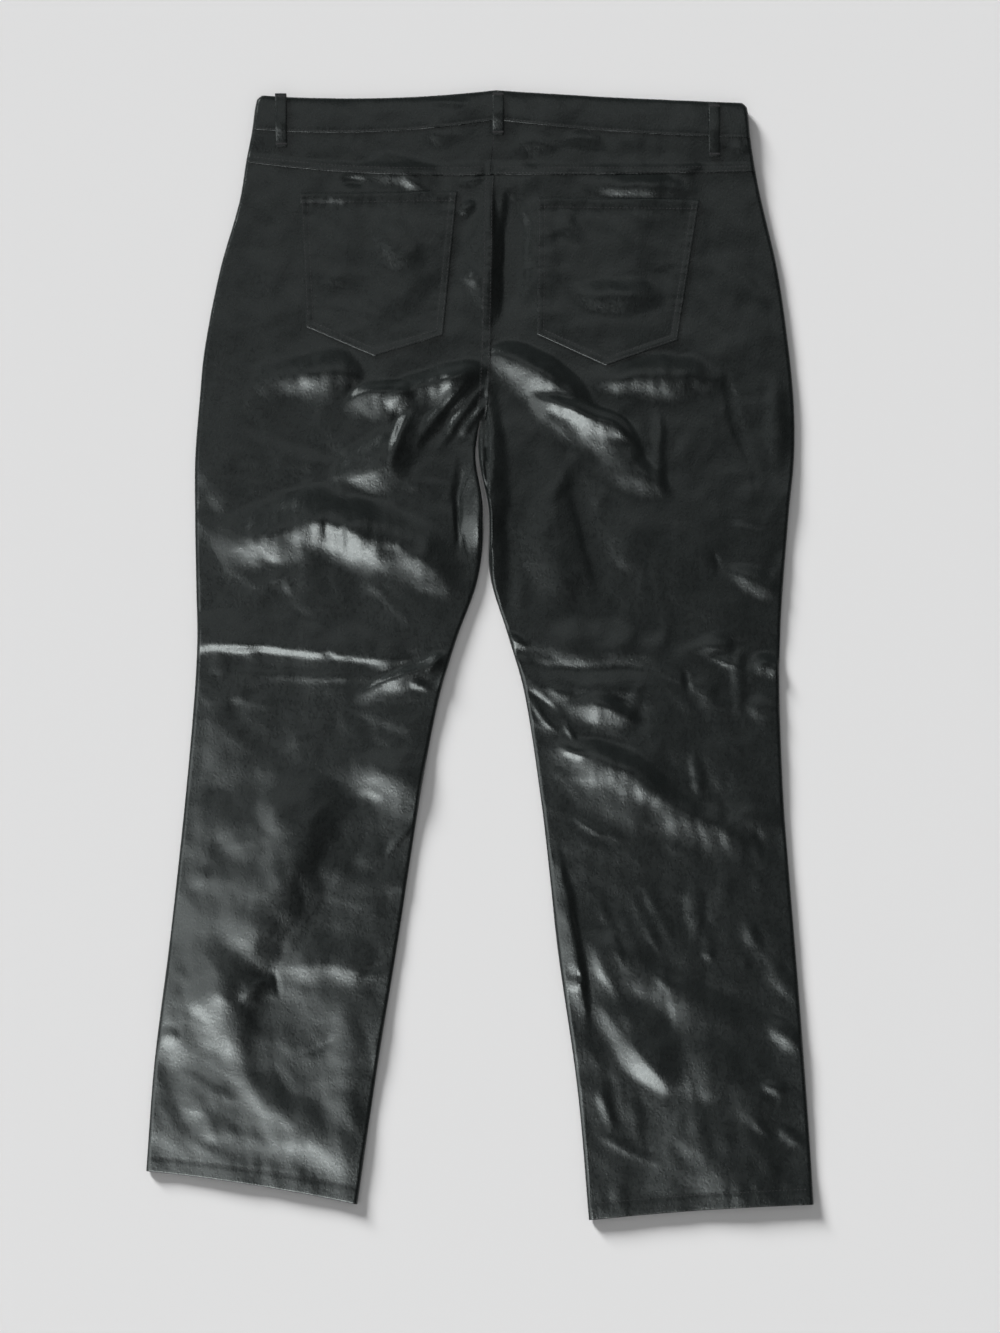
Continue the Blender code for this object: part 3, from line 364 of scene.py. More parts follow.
# Patch pockets: the top corners, the side corners where the point starts, and the point
Pocket = namedtuple("Pocket", "name inner_top outer_top outer_side point inner_side")
POCKETS = (
    Pocket("pocket_left", (-36, 97), (-187, 99), (-181, 227), (-116, 255), (-50, 235)),
    Pocket("pocket_right", (41, 103), (196, 105), (175, 240), (106, 264), (40, 234)),
)

# Belt loops: straps sewn down at both ends and slack between them
LOOP_WIDTH = 11.0
LOOP_WALL = 1.4
LOOP_PITCH = 1.6
LOOP_RISE = 1.2           # how far the slack lifts the middle of a loop
LOOP_SLACK_CREST = 1.4    # the higher, the shorter the raised part
LOOP_WANDER = 0.5         # how far a loop's sides run out of line, in waves as long as LOOP_WAVE
LOOP_WAVE = 30
LOOP_SEED = 71
LOOP_GAP = 0.2
SEWN_GAP = 0.1            # between the band and what is sewn on it
LOOP_EVENING = 6          # a loop levels out the band under it over this length
LOOP_CROWN = 0.35         # a loop is this much thicker along its middle
LOOP_CROWN_CREST = 2.2
LOOP_PRESS = 0.2          # its bartacks press it in by this
LOOP_PRESSED = (0.06, 0.93)      # places of the bartacks, in shares of its length
LOOP_PRESS_SHARE = 0.08
LOOP_EDGE = 0.5
# Shares of the half width at which the points of a strap lie, from its middle to its edge
LOOP_SHARES = (0.3, 0.6, 0.82, 0.95, 1)
FRONT_LOOP_SHARES = (0.4, 0.8, 0.95, 1)
SEAT_STRIP_SHARES = (0.35, 0.7, 0.88, 0.96, 1)
Loop = namedtuple("Loop", "name u top_v bottom_v")
BACK_LOOPS = (
    Loop("belt_loop_back_left", -205, 4, 54.5),
    Loop("belt_loop_centre_back", 3, 2, 43),
    Loop("belt_loop_back_right", 210, 13, 64),
)
FRONT_LOOPS = (
    Loop("belt_loop_front_left", -118, 8, 52),
    Loop("belt_loop_front_right", 122, 8, 55),
)

# Lapped and turned edges: how far they stand over what they lie on, and over what width they come down to it
YOKE_LAP = 0.9
YOKE_LAP_END = 12.0       # the yoke's lap is down this far from its seam
YOKE_STEP = 4
BAND_LAP = 1.2
BAND_STEP = 3
BAND_ROLL = 9.0           # the strip along the band's top that rolls over
BAND_ROLL_DROP = 0.9
MOUTH_LIFT = 0.6          # how far a pocket's mouth stands open
MOUTH_REACH = 16          # and how far down its pocket that reaches
HEM_LAP = 0.35            # the turned-up edges of hems and pockets press through by this
HEM_STEP = 1.5
HEM_WALL_STEP = 2
HEM_PUCKER_ROW = 2        # under the top of the turned-up hem
POCKET_LAP_WIDTH = 9.0    # how wide the turned-in edges of a pocket are
POCKET_STEP = 2
POCKET_SPAN = 150.0       # about a pocket's width and depth, to space its mesh
POCKET_WALL = 1.8
SEAT_STRIP = 9.6          # width of the felled seat seam
SEAT_STRIP_WALL = 0.9
SEAT_STRIP_GAP = 0.25
SEAT_STRIP_TOP = 1        # under the yoke seam
SEAT_STRIP_END = 16       # past the seat fold
SEAT_SEAM_U = -6          # u where the left half's loft ends and the right one's starts

# Radii of the rounded edges of the pieces of the back
PANEL_TOP_EDGE = 0.4
SEAT_STRIP_EDGE = 0.5
YOKE_EDGE = 0.7
BAND_EDGE = 0.8
POCKET_EDGE = 0.9
MOUTH_EDGE = 1.2
HEM_EDGE = 1.2
BAND_TOP_EDGE = 2.6

# Hollows that the rows of stitches pull into the leather: depth and width
SEAT_GROOVE = (0.15, 0.8)
SEAT_GROOVE_SHARE = 0.78  # of the way from the middle of the seat seam to its edge
YOKE_GROOVE = (0.3, 1.3)
BAND_GROOVE = (0.25, 1.3)
BAND_ROLL_GROOVE = (0.2, 1.3)
HEM_GROOVE = (0.45, 1.6)
POCKET_GROOVES = ((0.25, 1.1), (0.45, 1.5))
MOUTH_GROOVE = (0.3, 1.2)

# Small ripples beside each seam: their wavelength along it, how far they reach, and their height
Pucker = namedtuple("Pucker", "seed wave reach height")
SEAT_PUCKERS = Pucker(31, 8, 9, 0.25)
STRIP_PUCKERS = Pucker(31, 8, 9, 0.3)
PANEL_TOP_PUCKERS = Pucker(41, 9, 11, 0.22)
LEFT_HEM_PUCKERS = Pucker(42, 15, 12, 0.22)
RIGHT_HEM_PUCKERS = Pucker(44, 15, 12, 0.22)
YOKE_SEAM_PUCKERS = Pucker(47, 9, 12, 0.25)
YOKE_TOP_PUCKERS = Pucker(49, 11, 10, 0.25)
BAND_SEAM_PUCKERS = Pucker(53, 12, 9, 0.15)
BAND_TOP_PUCKERS = Pucker(55, 14, 9, 0.12)
POCKET_PUCKERS = {"pocket_left": (Pucker(61, 10, 11, 0.2), Pucker(63, 12, 10, 0.2)),
                  "pocket_right": (Pucker(67, 10, 11, 0.2), Pucker(69, 12, 10, 0.2))}
PUCKER_GAIN = 1.5
PUCKER_SHARE = 0.6        # of a ripple's wavelength and of the distance from the seam, in the random field
PUCKER_DEPTH = 23         # wavelength away from the seam
PUCKER_PATCH = 37         # they come and go over this length
PUCKER_LEVEL = (0.6, 1.2) # how strong they are, and how much that changes

# Sewing
YOKE_ROWS = (2.0, 7.6)        # distances of the rows of stitches from the edge beside them
BAND_ROW = 2.2
HEM_ROW = 2.2                 # under the top of the turned-up hem
SEAT_ROW = 3.2                # from the middle of the seat seam
SEAT_ROW_TOP = 3              # under the yoke seam
SEAT_ROW_END = 12             # past the seat fold
POCKET_ROWS = (1.9, 6.6)
MOUTH_ROW = 9.0
STITCH_PITCH = 3.4
STITCH_LENGTH = 2.5
STITCH_PROBE = 0.2            # a stitch takes its direction from the path this far ahead and behind
THREAD_RADIUS = 0.26
BAR_PITCH = 0.55              # the short stitches of a bartack, side by side
BAR_LENGTH = 1.9
BAR_INSET = 2.6               # from the ends of a belt loop
POCKET_TRIM = 1.5             # the rows of a pocket start and end this far from its mouth
MOUTH_TRIM = 2.0
MOUTH_LEAN = -0.02            # how far the mouth's row leans from straight down
ROW_POINTS = 60               # points of a row's path
STITCH_SIDES = 6
# Rings of one stitch: share of its length, share of its radius, and height in radii
STITCH_RINGS = np.array([(-0.5, 0.35, -0.6), (-0.36, 0.9, 0.0), (0.0, 1.0, 0.25), (0.36, 0.9, 0.0),
                         (0.5, 0.35, -0.6)])

# Closed fly, hidden under the garment: two rows of stitches round it, and the zip behind it
FLY_ROWS = (32.0, 38.0)       # distances from the centre front
FLY_STRAIGHT = 128.0          # v where the rows start to curve to the centre
FLY_END = 172.0               # v where they end
FLY_FOOT = 3.0                # the rows end this far from the centre front
FLY_TOP = 6.0                 # and start this far under the waist seam
FLY_POINTS = 20
FLY_TURN_POINTS = 14
ZIP_TOP = 33.0
ZIP_CHAIN = 1.6               # thickness of the closed chain under its teeth
METAL_GAP = 0.05              # under the teeth and under the slider
TOOTH_PITCH = 2.1
TOOTH = (3.6, 1.1, 0.55)      # width, length and height
TOOTH_SHIFT = 0.5             # the teeth of the two tapes stand this far aside, turn about
TOOTH_MARGIN = 4.0            # free ends of the tape
# Slider body, its bridge and its pull: two corners each, across, down and up from the slider's top
SLIDER = (((-3.6, 0.0, 0.0), (3.6, 9.0, 0.55)), ((-0.9, 1.0, 0.6), (0.9, 6.5, 1.1)),
          ((-2.2, 6.0, 0.65), (2.2, 24.0, 1.05)))
SLIDER_DROP = 1.5             # from the top of the zip to the slider's top
TOOTH_ROUNDING = 0.15
SLIDER_ROUNDING = 0.2

# Outline of the dished button: shares of its radius and of its height, from the middle of its face
BUTTON_SIDES = 40
BUTTON_PROFILE = ((0.0, 0.35), (0.45, 0.35), (0.6, 0.3), (0.68, 0.05), (0.78, 0.0), (0.92, 0.05), (1.0, 0.3),
                  (1.0, 0.8), (0.94, 1.0), (0.0, 1.0))

# What each kind of piece was cut to, in metres, and its area where that isn't a rectangle
CUTS = {
    "back": ((0.31, 1.01), 0.25),
    "front": ((0.31, 1.06), 0.26),
    "yoke": ((0.25, 0.055), 0.0103),
    "waistband_front": ((0.25, 0.034), None),
    "waistband_back": ((0.49, 0.034), None),
    "pocket": ((0.155, 0.162), 0.0215),
}
BACK_LOOP_TURN = 3            # what a loop's cut turns under at its ends
FRONT_LOOP_TURN = 2

# Colours that each material's pattern runs between, roughness, and the heights of the bumps in metres
LEATHER_COLOURS = ((0.003, 0.004, 0.004), (0.0105, 0.0125, 0.0122))
LEATHER_ROUGHNESS = (0.24, 0.32)
GLOSS_TINT = (0.92, 1.0, 0.99, 1)
WRINKLE_BUMP = 0.00012
GRAIN_BUMP = 0.000012
THREAD_COLOURS = ((0.012, 0.012, 0.013), (0.03, 0.03, 0.032))
TWIST_BUMP = 0.0001
TAPE_COLOURS = ((0.006, 0.006, 0.006), (0.02, 0.02, 0.021))
WEAVE_BUMP = 0.0002
METAL_COLOURS = ((0.07, 0.07, 0.075), (0.13, 0.13, 0.14))
METAL_ROUGHNESS = (0.28, 0.42)

# Camera: square above the garment. The frame shows PICTURE_HEIGHT of the floor from its top to its bottom.
PICTURE_HEIGHT = 1281.3
CAMERA_HEIGHT = 3000.0
CAMERA_X = 19.2
CAMERA_Y = -10.6
SENSOR = 24

# Pale floor, in metres
FLOOR_COLOUR = (0.704, 0.704, 0.706, 1)
FLOOR_SIZE = 6.0
FLOOR_LEVEL = -0.0003     # clears the stitches of the hidden front

# The room's own light, at the horizon and above HORIZON_TOP (the sine of an elevation)
HORIZON_LIGHT = 0.4
ZENITH_LIGHT = 0.04
HORIZON_TOP = 0.45

# Daylight on the floor and the garment, with the angle of the sky it comes from, in degrees
Sun = namedtuple("Sun", "name direction angle strength")
SUNS = (
    Sun("key", (-0.57, 0.77, 0.29), 15, 7.6),
    Sun("fill", (0.1, -0.1, 1.0), 120, 0.8),
)
SUN_DISTANCE = 3.0

# Windows, seen only in the gloss. The power is in watts.
Window = namedtuple("Window", "name direction distance size_x size_y power")
WINDOWS = (
    Window("window_core", (-0.25, -0.58, 0.77), 6.0, 2.8, 2.8, 270),
    Window("window_glow", (-0.58, -0.40, 0.71), 2.2, 2.2, 2.2, 36),
    Window("back_window", (-0.62, 0.55, 0.56), 6.0, 2.0, 2.0, 90),
    Window("yoke_window", (-0.02, 0.31, 0.95), 6.0, 3.2, 2.0, 12),
)


# --- Random fields ---

def smooth(x):
    x = np.clip(x, 0.0, 1.0)
    return x * x * (3 - 2 * x)


def drift(seed, u, v, wave_u, wave_v):
    """Smooth random field from -1 to 1: random slopes on a lattice, blended between its corners."""
    angles = np.random.default_rng(seed).uniform(0, 2 * math.pi, (LATTICE, LATTICE))
    x = np.asarray(u, float) / wave_u + LATTICE_START[0]
    y = np.asarray(v, float) / wave_v + LATTICE_START[1]
    column, row = np.floor(x).astype(int), np.floor(y).astype(int)
    x, y = x - column, y - row
    ease_x, ease_y = (t ** 3 * (t * (t * 6 - 15) + 10) for t in (x, y))
    total = 0.0
    for k in (0, 1):
        for m in (0, 1):
            angle = angles[(row + m) % LATTICE, (column + k) % LATTICE]
            corner = np.cos(angle) * (x - k) + np.sin(angle) * (y - m)
            weight = (ease_x if k else 1 - ease_x) * (ease_y if m else 1 - ease_y)
            total = total + corner * weight
    return DRIFT_GAIN * total


def uneven(base, fields, u, v):
    """The base with each of the random fields on it."""
    for field in fields:
        swell = drift(field.seed, u, v, field.wave_u, field.wave_v)
        if field.ridged:
            swell = RIDGED_LEVEL - np.sqrt(swell ** 2 + RIDGED_ROUNDING)
        base = base + field.height * swell
    return base


# --- The back's height ---

def across_fold(fold, aside, lens):
    """Share of a fold's height at each distance from its crest, plus on the side that below names."""
    below = np.clip(1 - (np.maximum(aside, 0) / (fold.below * lens)) ** fold.crest, 0, 1)
    above = np.clip(1 - (np.minimum(aside, 0) / (fold.above * lens)) ** 2, 0, 1)
    return (below * above) ** 2


def fold_height(fold, u, v):
    """Height of one fold at each place: rounded across, and fading out at its two ends."""
    run_u, run_v = fold.u2 - fold.u1, fold.v2 - fold.v1
    length = math.hypot(run_u, run_v)
    from_u, from_v = u - fold.u1, v - fold.v1
    along = (from_u * run_u + from_v * run_v) / length ** 2
    aside = (from_v * run_u - from_u * run_v) / length - fold.bow * 4 * along * (1 - along)
    fade = smooth(along / FOLD_FADE) * smooth((1 - along) / FOLD_FADE)
    lens = FOLD_END_WIDTH + (1 - FOLD_END_WIDTH) * fade
    return fold.height * fade * across_fold(fold, aside, lens)


def curve_through(path):
    """Points of a smooth curve through the places of a path, with the heights in between."""
    path = np.array(path, float)
    slopes = np.gradient(path, axis=0)
    t = np.linspace(0, 1, CURVE_STEPS, endpoint=False)[:, None]
    pieces = [start * (1 + 2 * t) * (1 - t) ** 2 + end * t * t * (3 - 2 * t)
              + leave * t * (1 - t) ** 2 - arrive * t * t * (1 - t)
              for start, end, leave, arrive in zip(path[:-1], path[1:], slopes[:-1], slopes[1:])]
    return np.concatenate([*pieces, path[-1:]])


def ridge_height(ridge, u, v):
    """Height of one large fold at each place, from the nearest point of its crest."""
    points = curve_through(ridge.path)
    reach = max(ridge.above, ridge.below)
    near = ((u > points[:, 0].min() - reach) & (u < points[:, 0].max() + reach)
            & (v > points[:, 1].min() - reach) & (v < points[:, 1].max() + reach))
    own_u, own_v = u[near], v[near]
    nearest = np.full(own_u.shape, np.inf)
    aside, crest_height = np.zeros(own_u.shape), np.zeros(own_u.shape)
    for (u1, v1, height1), (u2, v2, height2) in zip(points[:-1], points[1:]):
        run_u, run_v = u2 - u1, v2 - v1
        length = math.hypot(run_u, run_v)
        share = np.clip(((own_u - u1) * run_u + (own_v - v1) * run_v) / length ** 2, 0, 1)
        off_u, off_v = own_u - u1 - share * run_u, own_v - v1 - share * run_v
        distance = np.hypot(off_u, off_v)
        closer = distance < nearest
        side = np.sign(off_v * run_u - off_u * run_v)
        nearest = np.where(closer, distance, nearest)
        aside = np.where(closer, side * distance, aside)
        crest_height = np.where(closer, height1 + (height2 - height1) * share, crest_height)
    crest_height = np.maximum(crest_height, 0)
    lens = RIDGE_END_WIDTH + (1 - RIDGE_END_WIDTH) * crest_height / np.max(points[:, 2])
    total = np.zeros(np.shape(u))
    total[near] = crest_height * across_fold(ridge, aside, lens)
    return total


def scatter_creases():
    """Small creases at random places, denser where the cloth bends most."""
    random = np.random.default_rng(SCATTER_SEED)
    creases = []
    for zone in CREASE_ZONES:
        for k in range(zone.count):
            u = random.uniform(zone.left, zone.right)
            v = random.uniform(zone.top, zone.bottom)
            turn = math.radians(random.normal(zone.turn, SCATTER_TURN))
            half_length = random.uniform(*SCATTER_REACH)
            height = random.uniform(*SCATTER_HEIGHT) * zone.height
            height *= -1 if random.random() < SCATTER_TROUGHS else 1
            width = random.uniform(*SCATTER_WIDTH)
            bow = random.uniform(-SCATTER_BOW, SCATTER_BOW)
            above = width * random.uniform(*SCATTER_SKEW)
            crest = random.uniform(*SCATTER_CREST)
            run_u, run_v = half_length * math.cos(turn), half_length * math.sin(turn)
            creases.append(Fold(f"{zone.name}_{k}", u - run_u, v - run_v, u + run_u, v + run_v, bow,
                                height * width / SCATTER_EVEN_WIDTH, above, width, crest))
    return tuple(creases)


SCATTERED = scatter_creases()


def main_relief(u, v):
    """Height of the main folds and ridges, and how much of each ridge's ripple is there."""
    ridges = [ridge_height(ridge, u, v) for ridge in MAIN_RIDGES]
    ripple = sum(height / RIPPLE_FULL * ridge.ripple for ridge, height in zip(MAIN_RIDGES, ridges))
    folds = sum(fold_height(fold, u, v) for fold in MAIN_FOLDS)
    return folds + sum(ridges), np.clip(ripple, 0, MOST_RIPPLE)


def relief(u, v):
    """Height of the back above its loft."""
    wander_u, wander_v = uneven(u, WANDER_U, u, v), uneven(v, WANDER_V, u, v)
    large, ripple = main_relief(wander_u, wander_v)
    folds = large * uneven(1, STRENGTH, u, v) + ripple * uneven(0, RIPPLES, u, v)
    for fold in SMALL_CREASES + SCATTERED:
        folds = folds + fold_height(fold, wander_u, wander_v)
    return uneven(folds, UNEVEN, wander_u, wander_v)


def hollow(u, v):
    """How far the front stands off the floor under the main folds."""
    return HOLLOW_SHARE * np.clip(main_relief(u, v)[0], 0, HOLLOW_REACH)


def loft_over(height):
    """The height, kept above LEAST_LOFT with a soft bend."""
    return LEAST_LOFT + LOFT_BEND * np.logaddexp(0, (height - LEAST_LOFT) / LOFT_BEND)


# --- Halves ---

class Half:
    """One leg with its half of the seat, as smooth curves through its table of sections."""

    def __init__(self, side, sections):
        self.side = side
        self.sections = sections
        self.stations = np.array([section.inner_v for section in sections], float)
        order = np.arange(len(sections))
        self.low, self.high = np.maximum(order - 1, 0), np.minimum(order + 1, len(sections) - 1)

    def station(self, name):
        return next(section.inner_v for section in self.sections if section.name == name)

    def at(self, field, station):
        values = np.array([getattr(section, field) for section in self.sections], float)
        slopes = (values[self.high] - values[self.low]) / (self.stations[self.high] - self.stations[self.low])
        i = np.searchsorted(self.stations[1:-1], station, side="right")
        step = self.stations[i + 1] - self.stations[i]
        t = (station - self.stations[i]) / step
        found = (values[i] * (1 + 2 * t) * (1 - t) ** 2 + values[i + 1] * t * t * (3 - 2 * t)
                 + step * slopes[i] * t * (1 - t) ** 2 - step * slopes[i + 1] * t * t * (1 - t))
        if field == "inner_u":
            return found + self.side * SEAM_GAP / 2
        if field == "roll":
            return np.clip(found, 0, 1)
        if field == "wrap":
            return np.where(self.at("roll", station) > 0.999, np.maximum(found, 0), 0)
        return np.maximum(found, 0) if field == "lift" else found

    def width(self, station):
        return np.hypot(self.at("outer_u", station) - self.at("inner_u", station),
                        self.at("outer_v", station) - station)

    def skin(self, station, inner_edge, arc, add=None):
        """Points of the outer skin and normals of its plain form. arc runs round from the outline at the
        inner or the outer edge: plus on the back, minus below. add gives what a piece adds to the height."""
        run_u = self.at("outer_u", station) - self.at("inner_u", station)
        run_v = self.at("outer_v", station) - station
        width = np.hypot(run_u, run_v)
        roll = np.where(inner_edge, self.at("roll", station), 1.0)
        first_angle = (1 - roll) * math.pi / 2
        reach = ROLL_ARC * roll
        share = np.clip(np.abs(arc) / np.maximum(reach, 1e-6), 0, 1)
        angle = first_angle + (math.pi / 2 - first_angle) * share
        inset = ROLL_WIDTH * (np.cos(first_angle) - np.cos(angle)) + np.maximum(np.abs(arc) - reach, 0)
        across = np.where(inner_edge, inset / width, 1 - inset / width)
        u = self.at("inner_u", station) + run_u * across
        v = station + run_v * across + self.at("bow", station) * 4 * across * (1 - across)
        loft, lift = self.at("loft", station), self.at("lift", station)
        middle = (loft + lift) / 2
        top = loft_over(loft + relief(u, v))
        if add is not None:
            top = top + add(self, station, u)
        above = middle + (top - middle) * np.sin(angle)
        below = middle - (middle - lift - hollow(u, v)) * np.sin(angle)
        z = np.where(arc < 0, below, above)
        outward = np.where(inner_edge, -1, 1) * np.cos(angle) / ROLL_WIDTH / width
        lean = np.sin(angle) / np.where(arc < 0, lift - middle, loft - middle)
        normal = np.stack([run_u * outward, run_v * outward, lean], -1)
        normal = normal / np.linalg.norm(normal, axis=-1, keepdims=True)
        return np.stack([u, v, z], -1), normal

    def find(self, u, v):
        """Station of the row that passes through each place."""
        station = np.array(v, float)
        for _ in range(8):
            run = self.at("outer_u", station) - self.at("inner_u", station)
            across = np.clip((u - self.at("inner_u", station)) / run, 0, 1)
            row_v = (station + (self.at("outer_v", station) - station) * across
                     + self.at("bow", station) * 4 * across * (1 - across))
            station = np.clip(station + v - row_v, 0, self.stations[-1])
        return station


LEFT = Half(-1, LEFT_SECTIONS)
RIGHT = Half(1, RIGHT_SECTIONS)
HALVES = {"left": LEFT, "right": RIGHT}


def back_top(u, v):
    """Height of the back's skin at each place, without what single pieces add."""
    u, v = np.asarray(u, float), np.asarray(v, float)
    left = LEFT.at("loft", LEFT.find(u, v))
    right = RIGHT.at("loft", RIGHT.find(u, v))
    return loft_over(np.where(u < SEAT_SEAM_U, left, right) + relief(u, v))


# --- Meshes ---

def to_world(points):
    """World places, in metres, of (u, v, z) points in millimetres."""
    points = np.asarray(points, float)
    return np.stack([points[..., 0] - MIDDLE_U, MIDDLE_V - points[..., 1], points[..., 2]], -1) * MM


def make_mesh(name, verts, faces, material, sharp=50):
    mesh = bpy.data.meshes.new(name)
    mesh.from_pydata([tuple(vert) for vert in verts], [], [tuple(face) for face in faces])
    mesh.validate()
    mesh.materials.append(material)
    mesh.shade_smooth()
    mesh.set_sharp_from_angle(angle=math.radians(sharp))
    item = bpy.data.objects.new(name, mesh)
    bpy.context.scene.collection.objects.link(item)
    return item


def wall_faces(rows, columns):
    """Faces of a closed wall from two grids of points, the outer one first."""
    outer = np.arange(rows * columns).reshape(rows, columns)
    inner = outer + rows * columns
    here, beyond = slice(0, -1), slice(1, None)
    corners = ((here, here), (beyond, here), (beyond, beyond), (here, beyond))
    front = np.stack([outer[corner] for corner in corners], -1).reshape(-1, 4)
    back = np.stack([inner[corner] for corner in corners], -1).reshape(-1, 4)[:, ::-1]
    loop = np.concatenate([np.arange(rows - 1) * columns, (rows - 1) * columns + np.arange(columns - 1),
                           (np.arange(rows - 1, 0, -1) + 1) * columns - 1, np.arange(columns - 1, 0, -1)])
    following = np.roll(loop, -1)
    offset = rows * columns
    rim = np.stack([following, loop, loop + offset, following + offset], -1)
    return np.concatenate([front, back, rim])


def facing_out(verts, faces):
    """The faces, turned over if the closed mesh is inside out."""
    corners = verts[faces]
    crossed = np.cross(corners[:, 2] - corners[:, 0], corners[:, 3] - corners[:, 1])
    volume = np.sum(crossed * corners.mean(1))
    return faces[:, ::-1] if volume < 0 else faces


def make_wall(name, walls, material):
    """One mesh of closed walls, each given as the grids of its outer and its inner points."""
    verts, faces, first = [], [], 0
    for outer, inner in walls:
        own = np.concatenate([to_world(outer).reshape(-1, 3), to_world(inner).reshape(-1, 3)])
        verts.append(own)
        faces.append(facing_out(own, wall_faces(*outer.shape[:2])) + first)
        first += len(own)
    return make_mesh(name, np.concatenate(verts), np.concatenate(faces), material)


def spaced(start, end, pitch):
    """Places from start to end, pitch apart, and closer at the two ends to round the edges there."""
    close = np.array(EDGE_STEPS)
    count = max(2, round((end - start - 2 * close[-1]) / pitch))
    return np.concatenate([start + close[:-1], np.linspace(start + close[-1], end - close[-1], count + 1),
                           end - close[-2::-1]])


def edge_drop(distance, radius):
    """How far the skin curves down at this distance from an edge."""
    inside = np.clip(radius - distance, 0, radius)
    return radius - np.sqrt(radius * radius - inside * inside)


def groove(distance, size):
    """The hollow that a row of stitches pulls into the leather."""
    depth, width = size
    return -depth * np.exp(-(distance / width) ** 2)


def both_sides(shares, width):
    """Places across a strap from one edge over its middle to the other."""
    return np.array([-share for share in shares[::-1]] + [0, *shares]) * width / 2


def puckers(pucker, along, distance):
    """Small ripples square to a seam, uneven in length and strength, fading away from it."""
    ripples = PUCKER_GAIN * drift(pucker.seed, along, distance * PUCKER_SHARE, pucker.wave * PUCKER_SHARE,
                                  PUCKER_DEPTH)
    level, change = PUCKER_LEVEL
    patches = drift(pucker.seed + 1, along, distance * 0, PUCKER_PATCH, PUCKER_PATCH)
    strength = smooth(level + change * patches)
    return pucker.height * strength * ripples * np.exp(-(distance / pucker.reach) ** 2)


# --- What each piece adds to the back's height ---

def add_to_panel(half, station, u):
    """The top edge under the yoke, the seam edges, and the hem with its row of stitches."""
    from_yoke = station - half.station("yoke_seam")
    from_hem = half.station("hem") - station
    centre = np.abs(u - half.at("inner_u", station)) * (1 - half.at("roll", station))
    seat = np.where(half.at("roll", station) < 0.5, puckers(SEAT_PUCKERS, station, centre), 0)
    hem = HEM_LAP * smooth((HEM_DEPTH + HEM_STEP - from_hem) / HEM_STEP)
    hem_puckers = LEFT_HEM_PUCKERS if half is LEFT else RIGHT_HEM_PUCKERS
    return (puckers(PANEL_TOP_PUCKERS, u, from_yoke) - edge_drop(from_yoke, PANEL_TOP_EDGE) + seat
            + hem + groove(from_hem - HEM_DEPTH + HEM_ROW, HEM_GROOVE) - edge_drop(from_hem, HEM_EDGE)
            + puckers(hem_puckers, u, from_hem - HEM_DEPTH + HEM_PUCKER_ROW))


def add_to_yoke(half, station, u):
    """The lapped lower edge with its two rows of stitches."""
    from_seam = half.station("yoke_seam") - station
    from_band = station - half.station("waist_seam")
    return (YOKE_LAP * smooth((YOKE_LAP_END - from_seam) / YOKE_STEP) - edge_drop(from_seam, YOKE_EDGE)
            + groove(from_seam - YOKE_ROWS[0], YOKE_GROOVE) + groove(from_seam - YOKE_ROWS[1], YOKE_GROOVE)
            + puckers(YOKE_SEAM_PUCKERS, u, from_seam) + puckers(YOKE_TOP_PUCKERS, u, from_band))


def add_to_band(half, station, u):
    """The band's folded top edge and its lapped lower edge, a row of stitches along each."""
    from_seam = half.station("waist_seam") - station
    return (BAND_LAP - edge_drop(from_seam, BAND_EDGE) - edge_drop(station, BAND_TOP_EDGE)
            - BAND_ROLL_DROP * np.clip(1 - station / BAND_ROLL, 0, 1)
            + groove(station - BAND_ROLL, BAND_ROLL_GROOVE) + groove(from_seam - BAND_ROW, BAND_GROOVE)
            + puckers(BAND_SEAM_PUCKERS, u, from_seam) + puckers(BAND_TOP_PUCKERS, u, station))


# --- Leather pieces ---

def piece_rows(half, first, last, pitch):
    return spaced(half.station(first) + SEAM_GAP / 2, half.station(last) - SEAM_GAP / 2, pitch)[:, None]


def far_arc(half, station):
    """Arc, counted from one edge, of the place where the closer steps beside the other edge start."""
    roll = half.at("roll", station)
    inset = ROLL_WIDTH * np.sin(roll * math.pi / 2)
    return half.width(station) - ROLL_WIDTH - inset + ROLL_ARC * roll - (ROLL_REACH - ROLL_ARC)


def back_columns(half, station, pitch):
    """Places of the columns across the back: which edge each is counted from, and its arc from there."""
    seam = half.at("wrap", station) + SEAM_GAP / 2
    inner = seam + np.linspace(0, ROLL_REACH, ROLL_STEPS)
    outer = np.broadcast_to(np.linspace(ROLL_REACH, SEAM_GAP / 2, ROLL_STEPS), (len(station), ROLL_STEPS))
    run = far_arc(half, station) - inner[:, -1:]
    count = round(float(np.max(run)) / pitch)
    middle = inner[:, -1:] + run * np.linspace(0, 1, count + 1)[1:-1]
    arc = np.concatenate([inner, middle, outer], 1)
    return np.arange(arc.shape[1]) < ROLL_STEPS + count - 1, arc


def front_columns(half, station, pitch):
    """Places of the columns across the front, from the side seam under the back to the inseam."""
    seam = half.at("wrap", station) - SEAM_GAP / 2
    outer = np.broadcast_to(-np.linspace(SEAM_GAP / 2, ROLL_REACH, ROLL_STEPS), (len(station), ROLL_STEPS))
    last = far_arc(half, station)
    count = round(float(np.max(last)) / pitch)
    middle = -last + (last - ROLL_REACH) * np.linspace(0, 1, count + 1)[1:-1]
    strip = -ROLL_REACH + (seam + ROLL_REACH) * np.linspace(0, 1, STRIP_STEPS + 1)
    arc = np.concatenate([outer, middle, strip], 1)
    return np.arange(arc.shape[1]) >= ROLL_STEPS, arc


def leather_wall(half, station):
    """Thickness of one layer of leather, and of the turned-up hem."""
    from_hem = half.station("hem") - station
    return LEATHER + (HEM_WALL - LEATHER) * smooth((HEM_DEPTH + HEM_WALL_STEP - from_hem) / HEM_WALL_STEP)


